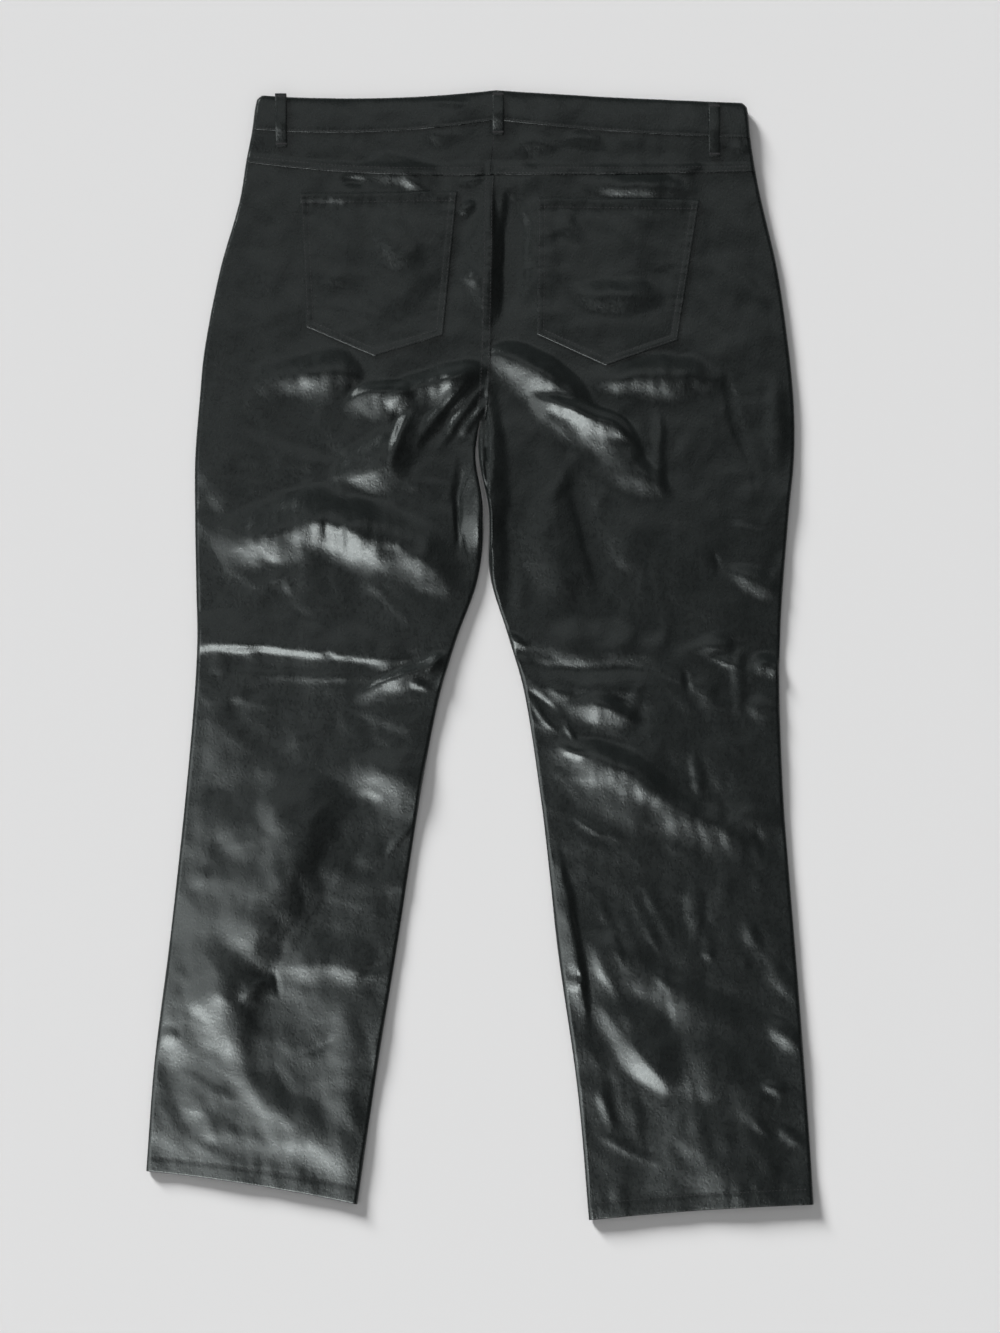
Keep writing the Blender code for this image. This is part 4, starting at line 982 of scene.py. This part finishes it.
def skin_and_lining(half, station, columns, wall, add=None):
    points, normal = half.skin(station, *columns, add)
    return points, points - normal * np.broadcast_to(wall, points.shape[:2])[..., None]


def make_back(name, half, first, last, add, material, laps=()):
    """A piece of the back, from one section of its half to another, with any laps sewn on it."""
    station = piece_rows(half, first, last, BACK_PITCH)
    columns = back_columns(half, station, BACK_PITCH)
    panel = skin_and_lining(half, station, columns, leather_wall(half, station), add)
    return make_wall(name, [panel, *laps], material)


def make_front(name, half, first, last, pitch, material, wall=None):
    """A piece of the front, one layer thick if no wall is given."""
    station = piece_rows(half, first, last, pitch)
    columns = front_columns(half, station, pitch)
    wall = leather_wall(half, station) if wall is None else wall
    return make_wall(name, [skin_and_lining(half, station, columns, wall)], material)


def make_waistband(material):
    sides = []
    for half in (LEFT, RIGHT):
        station = piece_rows(half, "waist_top", "waist_seam", EDGE_PITCH)
        columns = back_columns(half, station, BACK_PITCH)
        sides.append(skin_and_lining(half, station, columns, BAND, add_to_band))
    outer, inner = (np.concatenate([sides[0][k][:, ::-1], sides[1][k][:, 1:]], 1) for k in (0, 1))
    return make_wall("waistband_back_skin", [(outer, inner)], material)


def point_share(pocket):
    """Share of a pocket's width at which its point lies."""
    return (pocket.point[0] - pocket.inner_side[0]) / (pocket.outer_side[0] - pocket.inner_side[0])


def pocket_lines(pocket, across):
    """Top and bottom edge of a pocket at each share of its width."""
    inner_top, outer_top = np.array(pocket.inner_top, float), np.array(pocket.outer_top, float)
    top = inner_top + (outer_top - inner_top) * across[:, None]
    corners = (pocket.inner_side, pocket.point, pocket.outer_side)
    knots = (0, point_share(pocket), 1)
    bottom = np.stack([np.interp(across, knots, [corner[k] for corner in corners]) for k in (0, 1)], -1)
    return top, bottom


def polygon_distance(corners, u, v):
    """Distance of each place from each edge of a convex pocket outline, in the order of its corners."""
    distances = []
    middle = np.mean(corners, 0)
    for start, end in zip(corners, corners[1:] + corners[:1]):
        run_u, run_v = end[0] - start[0], end[1] - start[1]
        length = math.hypot(run_u, run_v)
        side = math.copysign(1, (middle[1] - start[1]) * run_u - (middle[0] - start[0]) * run_v)
        distances.append(side * ((v - start[1]) * run_u - (u - start[0]) * run_v) / length)
    return distances


def pocket_height(pocket, u, v):
    """Height of a pocket's skin: turned-in edges, the hem at its mouth, and grooves under the stitches."""
    corners = [pocket.inner_top, pocket.outer_top, pocket.outer_side, pocket.point, pocket.inner_side]
    mouth, *sides = polygon_distance(corners, u, v)
    edge = np.min(sides, 0)
    edge_puckers, mouth_puckers = POCKET_PUCKERS[pocket.name]
    return (back_top(u, v) + SEAM_GAP + LEATHER + HEM_LAP * smooth((POCKET_LAP_WIDTH - edge) / POCKET_STEP)
            + HEM_LAP * smooth((MOUTH_ROW + POCKET_STEP - mouth) / POCKET_STEP)
            + groove(edge - POCKET_ROWS[0], POCKET_GROOVES[0])
            + groove(edge - POCKET_ROWS[1], POCKET_GROOVES[1]) + groove(mouth - MOUTH_ROW, MOUTH_GROOVE)
            + MOUTH_LIFT * smooth(1 - mouth / MOUTH_REACH) - edge_drop(edge, POCKET_EDGE)
            - edge_drop(mouth, MOUTH_EDGE) + puckers(edge_puckers, v, edge)
            + puckers(mouth_puckers, u, mouth - MOUTH_ROW))


def make_pocket(pocket, material):
    down = spaced(0, POCKET_SPAN, EDGE_PITCH) / POCKET_SPAN
    across = down.copy()
    across[np.argmin(np.abs(across - point_share(pocket)))] = point_share(pocket)
    top, bottom = pocket_lines(pocket, across)
    plan = top[None] + (bottom - top)[None] * down[:, None, None]
    u, v = plan[..., 0], plan[..., 1]
    height = pocket_height(pocket, u, v)
    lining = np.maximum(back_top(u, v) + 0.5 * SEAM_GAP, height - POCKET_WALL)
    grids = np.stack([u, v, height], -1), np.stack([u, v, lining], -1)
    return make_wall(pocket.name + "_skin", [grids], material)


def seat_strip_height(u, v):
    """Height of the felled seat seam over both back panels."""
    across = np.abs(u - LEFT.at("inner_u", v)) / (SEAT_STRIP / 2)
    return (back_top(u, v) + SEAT_STRIP_GAP + SEAT_STRIP_WALL + puckers(STRIP_PUCKERS, v, 0 * v)
            - edge_drop((1 - across) * SEAT_STRIP / 2, SEAT_STRIP_EDGE)
            + groove((across - SEAT_GROOVE_SHARE) * SEAT_STRIP / 2, SEAT_GROOVE))


def seat_strip():
    """Skin and lining grids of the seat seam's lap, from the yoke seam to the crotch."""
    station = spaced(LEFT.station("yoke_seam") + SEAT_STRIP_TOP,
                     LEFT.station("seat_fold") + SEAT_STRIP_END, EDGE_PITCH)[:, None]
    u = LEFT.at("inner_u", station) + both_sides(SEAT_STRIP_SHARES, SEAT_STRIP)
    v = np.broadcast_to(station, u.shape)
    height = seat_strip_height(u, v)
    return np.stack([u, v, height], -1), np.stack([u, v, height - SEAT_STRIP_WALL], -1)


def band_height(u, v):
    """Height of the waistband's and the yoke's skins, for what is sewn on them."""
    station = np.where(u < 0, LEFT.find(u, v), RIGHT.find(u, v))
    on_band = smooth((LEFT.station("waist_seam") - station) / BAND_STEP + 0.5)
    return back_top(u, v) + SEWN_GAP + BAND_LAP * on_band


def back_loop_grids(loop):
    """Outer and inner points of a strap over the waistband."""
    down = spaced(0, loop.bottom_v - loop.top_v, LOOP_PITCH)
    share = down / down[-1]
    slack = LOOP_RISE * np.sin(math.pi * share) ** LOOP_SLACK_CREST
    aside = both_sides(LOOP_SHARES, LOOP_WIDTH)[None]
    wander = drift(LOOP_SEED, down, 0 * down, LOOP_WAVE, LOOP_WAVE)
    u = loop.u + aside + LOOP_WANDER * wander[:, None]
    v = loop.top_v + down[:, None] + 0 * u
    resting = np.max(band_height(u, v), axis=1)
    nearness = np.exp(-((down[:, None] - down[None]) / LOOP_EVENING) ** 2)
    even = nearness @ resting / nearness.sum(1)
    low = (even + np.max(resting - even) + LOOP_GAP + slack)[:, None]
    off_middle = np.abs(both_sides(LOOP_SHARES, 2)[None])
    crown = (LOOP_CROWN * (1 - off_middle ** LOOP_CROWN_CREST)
             - edge_drop((1 - off_middle) * LOOP_WIDTH / 2, LOOP_EDGE))
    press = -LOOP_PRESS * sum(np.exp(-((share - at) / LOOP_PRESS_SHARE) ** 2) for at in LOOP_PRESSED)[:, None]
    return np.stack([u, v, low + LOOP_WALL + crown + press], -1), np.stack([u, v, low + 0 * u], -1)


def front_loop_grids(loop):
    """Outer and inner points of a strap under the front waistband, lying on the floor."""
    down = spaced(0, loop.bottom_v - loop.top_v, WAISTBAND_PITCH)
    u = loop.u + both_sides(FRONT_LOOP_SHARES, LOOP_WIDTH)[None] + 0 * down[:, None]
    v = loop.top_v + down[:, None] + 0 * u
    off_middle = np.abs(both_sides(FRONT_LOOP_SHARES, 2)[None])
    drop = edge_drop((1 - off_middle) * LOOP_WIDTH / 2, LOOP_EDGE)
    return np.stack([u, v, 0 * u + drop], -1), np.stack([u, v, 0 * u + LOOP_WALL], -1)


# --- Sewing ---

def ring_faces(first, rings, sides):
    """Faces between rings of corners, one after another from the first corner's number."""
    faces = []
    for ring in range(rings - 1):
        for k in range(sides):
            a, b = first + ring * sides + k, first + ring * sides + (k + 1) % sides
            faces.append((a, b, b + sides, a + sides))
    return faces


def stitch_places(path, pitch):
    """Middle and direction of each stitch along a line of (u, v) points."""
    path = np.asarray(path, float)
    steps = np.hypot(*np.diff(path, axis=0).T)
    length = np.concatenate([[0], np.cumsum(steps)])
    count = int(length[-1] // pitch)
    at = (np.arange(count) + 0.5) * length[-1] / count

    def place(distance):
        return np.stack([np.interp(distance, length, path[:, k]) for k in (0, 1)], -1)

    ahead, behind = place(at + STITCH_PROBE), place(at - STITCH_PROBE)
    direction = (ahead - behind) / np.linalg.norm(ahead - behind, axis=1, keepdims=True)
    return place(at), direction


def make_stitches(name, rows, material, pitch=STITCH_PITCH, length=STITCH_LENGTH, square_on=False, side=1):
    """Thread along rows of stitches. Each row is a path and the height of what it is sewn through. The
    stitches of a bartack stand square on their row, and side is -1 where they show from below."""
    turns = 2 * math.pi * np.arange(STITCH_SIDES) / STITCH_SIDES
    girth = THREAD_RADIUS * STITCH_RINGS[:, 1]
    verts = []
    for path, height in rows:
        middles, directions = stitch_places(path, pitch)
        square = np.stack([-directions[:, 1], directions[:, 0]], -1)
        if square_on:
            directions, square = square, directions
        centres = middles[:, None] + directions[:, None] * STITCH_RINGS[:, 0:1] * length
        level = height(centres[..., 0], centres[..., 1]) + side * THREAD_RADIUS * STITCH_RINGS[:, 2]
        aside = np.cos(turns) * girth[:, None]
        spots = centres[:, :, None] + square[:, None, None] * aside[..., None]
        rise = level[..., None] + np.sin(turns) * girth[:, None]
        verts.append(np.concatenate([spots, rise[..., None]], -1).reshape(-1, 3))
    verts = np.concatenate(verts)
    size = len(STITCH_RINGS) * STITCH_SIDES
    own = [*ring_faces(0, len(STITCH_RINGS), STITCH_SIDES), tuple(reversed(range(STITCH_SIDES))),
           tuple(range(size - STITCH_SIDES, size))]
    faces = [tuple(first + k for k in face) for first in range(0, len(verts), size) for face in own]
    return make_mesh(name, to_world(verts), faces, material, sharp=80)


def row_path(half, offset, section):
    """A line that follows a row of one half, at a distance from one of its sections."""
    station = half.station(section) + offset
    margin = ROLL_REACH / half.width(station)
    across = np.linspace(margin, 1 - margin, ROW_POINTS)
    inner_u, outer_u = half.at("inner_u", station), half.at("outer_u", station)
    u = inner_u + (outer_u - inner_u) * across
    v = (station + (half.at("outer_v", station) - station) * across
         + half.at("bow", station) * 4 * across * (1 - across))
    return np.stack([u, v], -1)


def sewn_height(half, add, u, v):
    """Height of one half's skin with what a piece adds to it, for the thread on that piece."""
    station = half.find(u, v)
    return loft_over(half.at("loft", station) + relief(u, v)) + add(half, station, u)


def under_height(half, u, v):
    """Height of one half's front skin, which faces the floor."""
    return half.at("lift", half.find(u, v)) + hollow(u, v)


def strap_height(line, u, v):
    """Height across a strap, from one line of its points."""
    return np.interp(u, line[:, 0], line[:, 2])


def inset_path(corners, inset, trim):
    """A line inside an open row of corners, at a distance from it, on the side towards their middle, and
    trimmed by a length at both ends."""
    corners = np.array(corners, float)
    middle = corners.mean(0)
    lines = []
    for start, end in zip(corners[:-1], corners[1:]):
        along = (end - start) / np.linalg.norm(end - start)
        square = np.array([-along[1], along[0]])
        if np.dot(square, middle - start) < 0:
            square = -square
        lines.append((start + square * inset, along))
    points = [lines[0][0] + lines[0][1] * trim]
    for (first, along), (second, next_along) in zip(lines[:-1], lines[1:]):
        gap = second - first
        turn = along[0] * next_along[1] - along[1] * next_along[0]
        points.append(first + along * (gap[0] * next_along[1] - gap[1] * next_along[0]) / turn)
    last, along = lines[-1]
    points.append(last + along * (np.linalg.norm(corners[-1] - corners[-2]) - trim))
    return np.array(points)


def back_rows():
    """Topstitching of the back: each row is a path and a height."""
    rows = []
    for half in (LEFT, RIGHT):
        yoke, band = partial(sewn_height, half, add_to_yoke), partial(sewn_height, half, add_to_band)
        rows += [(row_path(half, -inset, "yoke_seam"), yoke) for inset in YOKE_ROWS]
        rows += [(row_path(half, -BAND_ROW, "waist_seam"), band)]
        rows += [(row_path(half, HEM_ROW - HEM_DEPTH, "hem"), partial(sewn_height, half, add_to_panel))]
    down = np.linspace(LEFT.station("yoke_seam") + SEAT_ROW_TOP, LEFT.station("seat_fold") + SEAT_ROW_END,
                       ROW_POINTS)
    rows += [(np.stack([LEFT.at("inner_u", down) + side * SEAT_ROW, down], -1), seat_strip_height)
             for side in (-1, 1)]
    for pocket in POCKETS:
        sides = [pocket.outer_top, pocket.outer_side, pocket.point, pocket.inner_side, pocket.inner_top]
        height = partial(pocket_height, pocket)
        rows += [(inset_path(sides, inset, POCKET_TRIM), height) for inset in POCKET_ROWS]
        mouth = np.array([pocket.inner_top, pocket.outer_top], float)
        towards = np.array([MOUTH_LEAN, 1.0]) * MOUTH_ROW
        trim = np.array([[1, 0], [-1, 0]]) * math.copysign(MOUTH_TRIM, pocket.point[0])
        rows += [(mouth + towards + trim, height)]
    return rows


def bartack_rows():
    """A bar of thread across each end of the loops on the back."""
    rows = []
    for loop in BACK_LOOPS:
        outer, _ = back_loop_grids(loop)
        for v in (loop.top_v + BAR_INSET, loop.bottom_v - BAR_INSET):
            line = outer[np.argmin(np.abs(outer[:, 0, 1] - v))]
            rows.append((np.array([(line[1, 0], v), (line[-2, 0], v)]), partial(strap_height, line)))
    return rows


def front_rows():
    """Topstitching of the hidden front: the waistband, the fly and the hems."""
    rows = []
    for half in (LEFT, RIGHT):
        rows += [(row_path(half, offset, section), partial(under_height, half)) for offset, section in
                 ((-BAND_ROW, "waist_seam"), (BAND_ROW, "waist_corner"), (HEM_ROW - HEM_DEPTH, "hem"))]
    straight = np.linspace(LEFT.station("waist_seam") + FLY_TOP, FLY_STRAIGHT, FLY_POINTS)
    turn = np.linspace(0, math.pi / 2, FLY_TURN_POINTS)[1:]
    for reach in FLY_ROWS:
        v = np.concatenate([straight, FLY_STRAIGHT + (FLY_END - FLY_STRAIGHT) * np.sin(turn)])
        aside = np.concatenate([np.full(FLY_POINTS, reach), FLY_FOOT + (reach - FLY_FOOT) * np.cos(turn)])
        rows.append((np.stack([LEFT.at("inner_u", v) - aside, v], -1), partial(under_height, LEFT)))
    return rows


# --- Materials ---

def new_material(name):
    material = bpy.data.materials.new(name)
    material.use_nodes = True
    tree = material.node_tree
    return material, tree, tree.nodes["Principled BSDF"]


def own_place(tree):
    return tree.nodes.new("ShaderNodeTexCoord").outputs["Object"]


def texture(tree, kind, coordinate, scale, **settings):
    """A texture on a place, with so many waves for each metre across, along and up as scale says."""
    mapping = tree.nodes.new("ShaderNodeMapping")
    mapping.inputs["Scale"].default_value = scale
    tree.links.new(coordinate, mapping.inputs["Vector"])
    node = tree.nodes.new(kind)
    for field, value in settings.items():
        if field in node.inputs:
            node.inputs[field].default_value = value
        else:
            setattr(node, field, value)
    tree.links.new(mapping.outputs["Vector"], node.inputs["Vector"])
    return node.outputs["Fac"]


def spread(tree, value, low, high, from_low=0.3, from_high=0.7):
    """A value moved from one range to another."""
    node = tree.nodes.new("ShaderNodeMapRange")
    node.inputs["From Min"].default_value = from_low
    node.inputs["From Max"].default_value = from_high
    node.inputs["To Min"].default_value = low
    node.inputs["To Max"].default_value = high
    tree.links.new(value, node.inputs["Value"])
    return node.outputs["Result"]


def bump(tree, height, distance, below=None):
    """Bump as high as distance, in metres, on top of another bump's normal."""
    node = tree.nodes.new("ShaderNodeBump")
    node.inputs["Distance"].default_value = distance
    node.inputs["Strength"].default_value = 1.0
    tree.links.new(height, node.inputs["Height"])
    if below is not None:
        tree.links.new(below, node.inputs["Normal"])
    return node.outputs["Normal"]


def colour(tree, shader, share, first, second):
    """Gives a shader a base colour between two, by a share."""
    node = tree.nodes.new("ShaderNodeMix")
    node.data_type = "RGBA"
    node.inputs["A"].default_value = (*first, 1)
    node.inputs["B"].default_value = (*second, 1)
    tree.links.new(share, node.inputs["Factor"])
    tree.links.new(node.outputs["Result"], shader.inputs["Base Color"])


def leather_material():
    """Smooth black faux leather: soft satin gloss, a fine pebble grain and small wrinkles."""
    material, tree, shader = new_material("black_leather_dressed")
    place = own_place(tree)
    clouds = texture(tree, "ShaderNodeTexNoise", place, (16, 16, 16), Detail=5.0, Roughness=0.6)
    wear = texture(tree, "ShaderNodeTexNoise", place, (60, 45, 60), Detail=4.0, Roughness=0.6)
    grain = texture(tree, "ShaderNodeTexNoise", place, (800, 800, 800), Detail=1.0)
    wrinkle = texture(tree, "ShaderNodeTexNoise", place, (120, 80, 120), Detail=0.0, Distortion=0.6)
    colour(tree, shader, clouds, *LEATHER_COLOURS)
    tree.links.new(spread(tree, wear, *LEATHER_ROUGHNESS), shader.inputs["Roughness"])
    normal = bump(tree, grain, GRAIN_BUMP, bump(tree, wrinkle, WRINKLE_BUMP))
    tree.links.new(normal, shader.inputs["Normal"])
    shader.inputs["Specular IOR Level"].default_value = 0.5
    shader.inputs["Specular Tint"].default_value = GLOSS_TINT
    shader.inputs["Coat Weight"].default_value = 0.10
    shader.inputs["Coat Roughness"].default_value = 0.2
    return material


def thread_material():
    """Black polyester thread with its twist."""
    material, tree, shader = new_material("black_thread")
    place = own_place(tree)
    twist = texture(tree, "ShaderNodeTexNoise", place, (1500, 1500, 1500), Detail=1.0)
    colour(tree, shader, twist, *THREAD_COLOURS)
    shader.inputs["Roughness"].default_value = 0.55
    tree.links.new(bump(tree, twist, TWIST_BUMP), shader.inputs["Normal"])
    return material


def tape_material():
    """Matt woven zip tape."""
    material, tree, shader = new_material("zip_tape_dressed")
    place = own_place(tree)
    weave = tree.nodes.new("ShaderNodeMath")
    weave.operation = "MULTIPLY"
    for k, direction in enumerate("XY"):
        threads = texture(tree, "ShaderNodeTexWave", place, (900, 900, 900), bands_direction=direction)
        tree.links.new(threads, weave.inputs[k])
    weave = weave.outputs["Value"]
    colour(tree, shader, weave, *TAPE_COLOURS)
    shader.inputs["Roughness"].default_value = 0.9
    tree.links.new(bump(tree, weave, WEAVE_BUMP), shader.inputs["Normal"])
    return material


def metal_material():
    """Dark brushed metal of the zip and the button."""
    material, tree, shader = new_material("button_metal_dressed")
    place = own_place(tree)
    brushed = texture(tree, "ShaderNodeTexNoise", place, (3000, 250, 1000), Detail=2.0)
    colour(tree, shader, brushed, *METAL_COLOURS)
    tree.links.new(spread(tree, brushed, *METAL_ROUGHNESS), shader.inputs["Roughness"])
    shader.inputs["Metallic"].default_value = 1.0
    return material


def floor_material():
    material, _, shader = new_material("pale_floor")
    shader.inputs["Base Color"].default_value = FLOOR_COLOUR
    shader.inputs["Roughness"].default_value = 0.9
    return material


# --- Hard pieces ---

def make_button(material):
    """A dished button with a raised rim, under the end of the left front waistband."""
    low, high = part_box("waist_button")
    centre_x, centre_y = (low.x + high.x) / 2 / MM, (low.y + high.y) / 2 / MM
    radius, height = (high.x - low.x) / 2 / MM, (high.z - low.z) / MM
    face, *profile, back = BUTTON_PROFILE
    turns = 2 * math.pi * np.arange(BUTTON_SIDES) / BUTTON_SIDES
    verts = [(centre_x, centre_y, face[1] * height)]
    verts += [(centre_x + radius * share * math.cos(turn), centre_y + radius * share * math.sin(turn),
               level * height) for share, level in profile for turn in turns]
    verts.append((centre_x, centre_y, back[1] * height))
    around = [(k, (k + 1) % BUTTON_SIDES) for k in range(BUTTON_SIDES)]
    last = len(verts) - 1
    faces = [(0, 1 + after, 1 + k) for k, after in around]
    faces += ring_faces(1, len(profile), BUTTON_SIDES)
    faces += [(last, last - BUTTON_SIDES + k, last - BUTTON_SIDES + after) for k, after in around]
    return make_mesh("waist_button_dished", np.array(verts) * MM, faces, material, sharp=35)


def make_boxes(name, boxes, material, rounding, segments):
    """One mesh of boxes with rounded edges, each box given by its two corners."""
    own = ((2, 3, 1, 0), (5, 7, 6, 4), (1, 5, 4, 0), (6, 7, 3, 2), (4, 6, 2, 0), (3, 7, 5, 1))
    verts, faces = [], []
    for low, high in boxes:
        faces += [tuple(len(verts) + corner for corner in face) for face in own]
        verts += [(x, y, z) for x in (low[0], high[0]) for y in (low[1], high[1]) for z in (low[2], high[2])]
    item = make_mesh(name, to_world(verts), faces, material, sharp=30)
    bevel = item.modifiers.new("rounding", "BEVEL")
    bevel.width = rounding * MM
    bevel.segments = segments
    return item


def chain_height(v):
    """Height of the closed zip's chain, under its teeth."""
    return float(RIGHT.at("lift", v)) + LEATHER + SEAM_GAP + ZIP_CHAIN


def make_teeth(material):
    """Metal teeth along the closed zip, turn about from the two tapes."""
    low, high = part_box("fly_zip")
    width, length, height = TOOTH
    boxes = []
    start, end = MIDDLE_V - high.y / MM + TOOTH_MARGIN, MIDDLE_V - low.y / MM - TOOTH_MARGIN
    for k, v in enumerate(np.arange(start, end, TOOTH_PITCH)):
        centre = float(LEFT.at("inner_u", v)) + SEAM_GAP + (TOOTH_SHIFT if k % 2 else -TOOTH_SHIFT)
        base = chain_height(v)
        boxes.append(((centre - width / 2, v - length / 2, base + METAL_GAP),
                      (centre + width / 2, v + length / 2, base + height)))
    return make_boxes("fly_zip_teeth", boxes, material, TOOTH_ROUNDING, 1)


def make_slider(material):
    """The zip's slider with its pull lying along the chain."""
    v = ZIP_TOP + SLIDER_DROP
    origin = (float(LEFT.at("inner_u", v)) + SEAM_GAP, v, chain_height(v) + TOOTH[2] + METAL_GAP)
    boxes = [[[start + step for start, step in zip(origin, corner)] for corner in box] for box in SLIDER]
    return make_boxes("fly_zip_slider", boxes, material, SLIDER_ROUNDING, 2)


# --- Stage ---

def make_floor(material):
    corners = ((-1, -1), (1, -1), (1, 1), (-1, 1))
    verts = [(x * FLOOR_SIZE, y * FLOOR_SIZE, FLOOR_LEVEL) for x, y in corners]
    floor = make_mesh("floor", verts, [(0, 1, 2, 3)], material)
    floor.visible_glossy = False


def aimed(item, direction, distance):
    """Puts a light in a direction from the middle of the garment, and aims it there."""
    away = Vector(direction).normalized()
    item.location = away * distance
    item.rotation_euler = away.to_track_quat("Z", "Y").to_euler()
    bpy.context.scene.collection.objects.link(item)


def add_sun(sun):
    """Even daylight for the floor and the shadows, left out of the reflections."""
    light = bpy.data.lights.new(sun.name, "SUN")
    light.angle, light.energy = math.radians(sun.angle), sun.strength
    item = bpy.data.objects.new(sun.name, light)
    item.visible_glossy = False
    aimed(item, sun.direction, SUN_DISTANCE)


def add_window(window):
    """A soft window that only shows in the gloss of the leather."""
    light = bpy.data.lights.new(window.name, "AREA")
    light.shape = "RECTANGLE"
    light.size, light.size_y = window.size_x, window.size_y
    light.energy = window.power
    item = bpy.data.objects.new(window.name, light)
    item.visible_diffuse = False
    aimed(item, window.direction, window.distance)


def light_the_scene():
    world = bpy.data.worlds.new("studio")
    bpy.context.scene.world = world
    world.use_nodes = True
    tree = world.node_tree
    up = tree.nodes.new("ShaderNodeSeparateXYZ")
    tree.links.new(tree.nodes.new("ShaderNodeTexCoord").outputs["Generated"], up.inputs["Vector"])
    strength = spread(tree, up.outputs["Z"], HORIZON_LIGHT, ZENITH_LIGHT, 0.0, HORIZON_TOP)
    background = tree.nodes["Background"]
    background.inputs["Color"].default_value = (1, 1, 1, 1)
    tree.links.new(strength, background.inputs["Strength"])
    for sun in SUNS:
        add_sun(sun)
    for window in WINDOWS:
        add_window(window)


def add_camera():
    camera = bpy.data.cameras.new("camera")
    camera.sensor_fit = "VERTICAL"
    camera.sensor_height = SENSOR
    camera.lens = SENSOR * CAMERA_HEIGHT / PICTURE_HEIGHT
    item = bpy.data.objects.new("camera", camera)
    item.location = (CAMERA_X * MM, CAMERA_Y * MM, CAMERA_HEIGHT * MM)
    bpy.context.scene.collection.objects.link(item)
    bpy.context.scene.camera = item


# --- Assembly ---

def dress(item, node, flat, area=None):
    """Hangs a cloth piece under the root body and hides the node that it replaces. The size it was cut to,
    flat and area, is not used.
    """
    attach(item, "root")
    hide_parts(node)


def sew_on(item):
    """Hangs a piece that rides on the garment, and replaces no node, under the root body."""
    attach(item, "root")


def main():
    leather, thread = leather_material(), thread_material()
    metal, tape = metal_material(), tape_material()
    for word, half in HALVES.items():
        laps = [seat_strip()] if half is LEFT else []
        back = make_back(f"back_{word}_skin", half, "yoke_seam", "hem", add_to_panel, leather, laps)
        dress(back, f"back_{word}", *CUTS["back"])
        front = make_front(f"front_{word}_skin", half, "waist_seam", "hem", FRONT_PITCH, leather)
        dress(front, f"front_{word}", *CUTS["front"])
        yoke = make_back(f"yoke_{word}_skin", half, "waist_seam", "yoke_seam", add_to_yoke, leather)
        dress(yoke, f"yoke_{word}", *CUTS["yoke"])
        node = f"waistband_front_{word}"
        band = make_front(f"{node}_skin", half, "waist_top", "waist_seam", WAISTBAND_PITCH, leather, BAND)
        dress(band, node, *CUTS["waistband_front"])
    dress(make_waistband(leather), "waistband_back", *CUTS["waistband_back"])
    for pocket in POCKETS:
        dress(make_pocket(pocket, leather), pocket.name, *CUTS["pocket"])
    for loops, grids, turn in ((BACK_LOOPS, back_loop_grids, BACK_LOOP_TURN),
                               (FRONT_LOOPS, front_loop_grids, FRONT_LOOP_TURN)):
        for loop in loops:
            strap = make_wall(loop.name + "_skin", [grids(loop)], leather)
            dress(strap, loop.name, (LOOP_WIDTH * MM, (loop.bottom_v - loop.top_v + turn) * MM))

    sew_on(make_stitches("back_stitches", back_rows(), thread))
    sew_on(make_stitches("front_stitches", front_rows(), thread, side=-1))
    bars = make_stitches("loop_bartacks", bartack_rows(), thread, BAR_PITCH, BAR_LENGTH, square_on=True)
    sew_on(bars)

    button = make_button(metal)
    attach(button, "root")
    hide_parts("waist_button")
    sew_on(make_teeth(metal))
    sew_on(make_slider(metal))
    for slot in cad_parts["fly_zip"].material_slots:
        slot.material = tape

    make_floor(floor_material())
    light_the_scene()
    add_camera()
    bpy.context.scene.view_settings.view_transform = "Standard"


main()
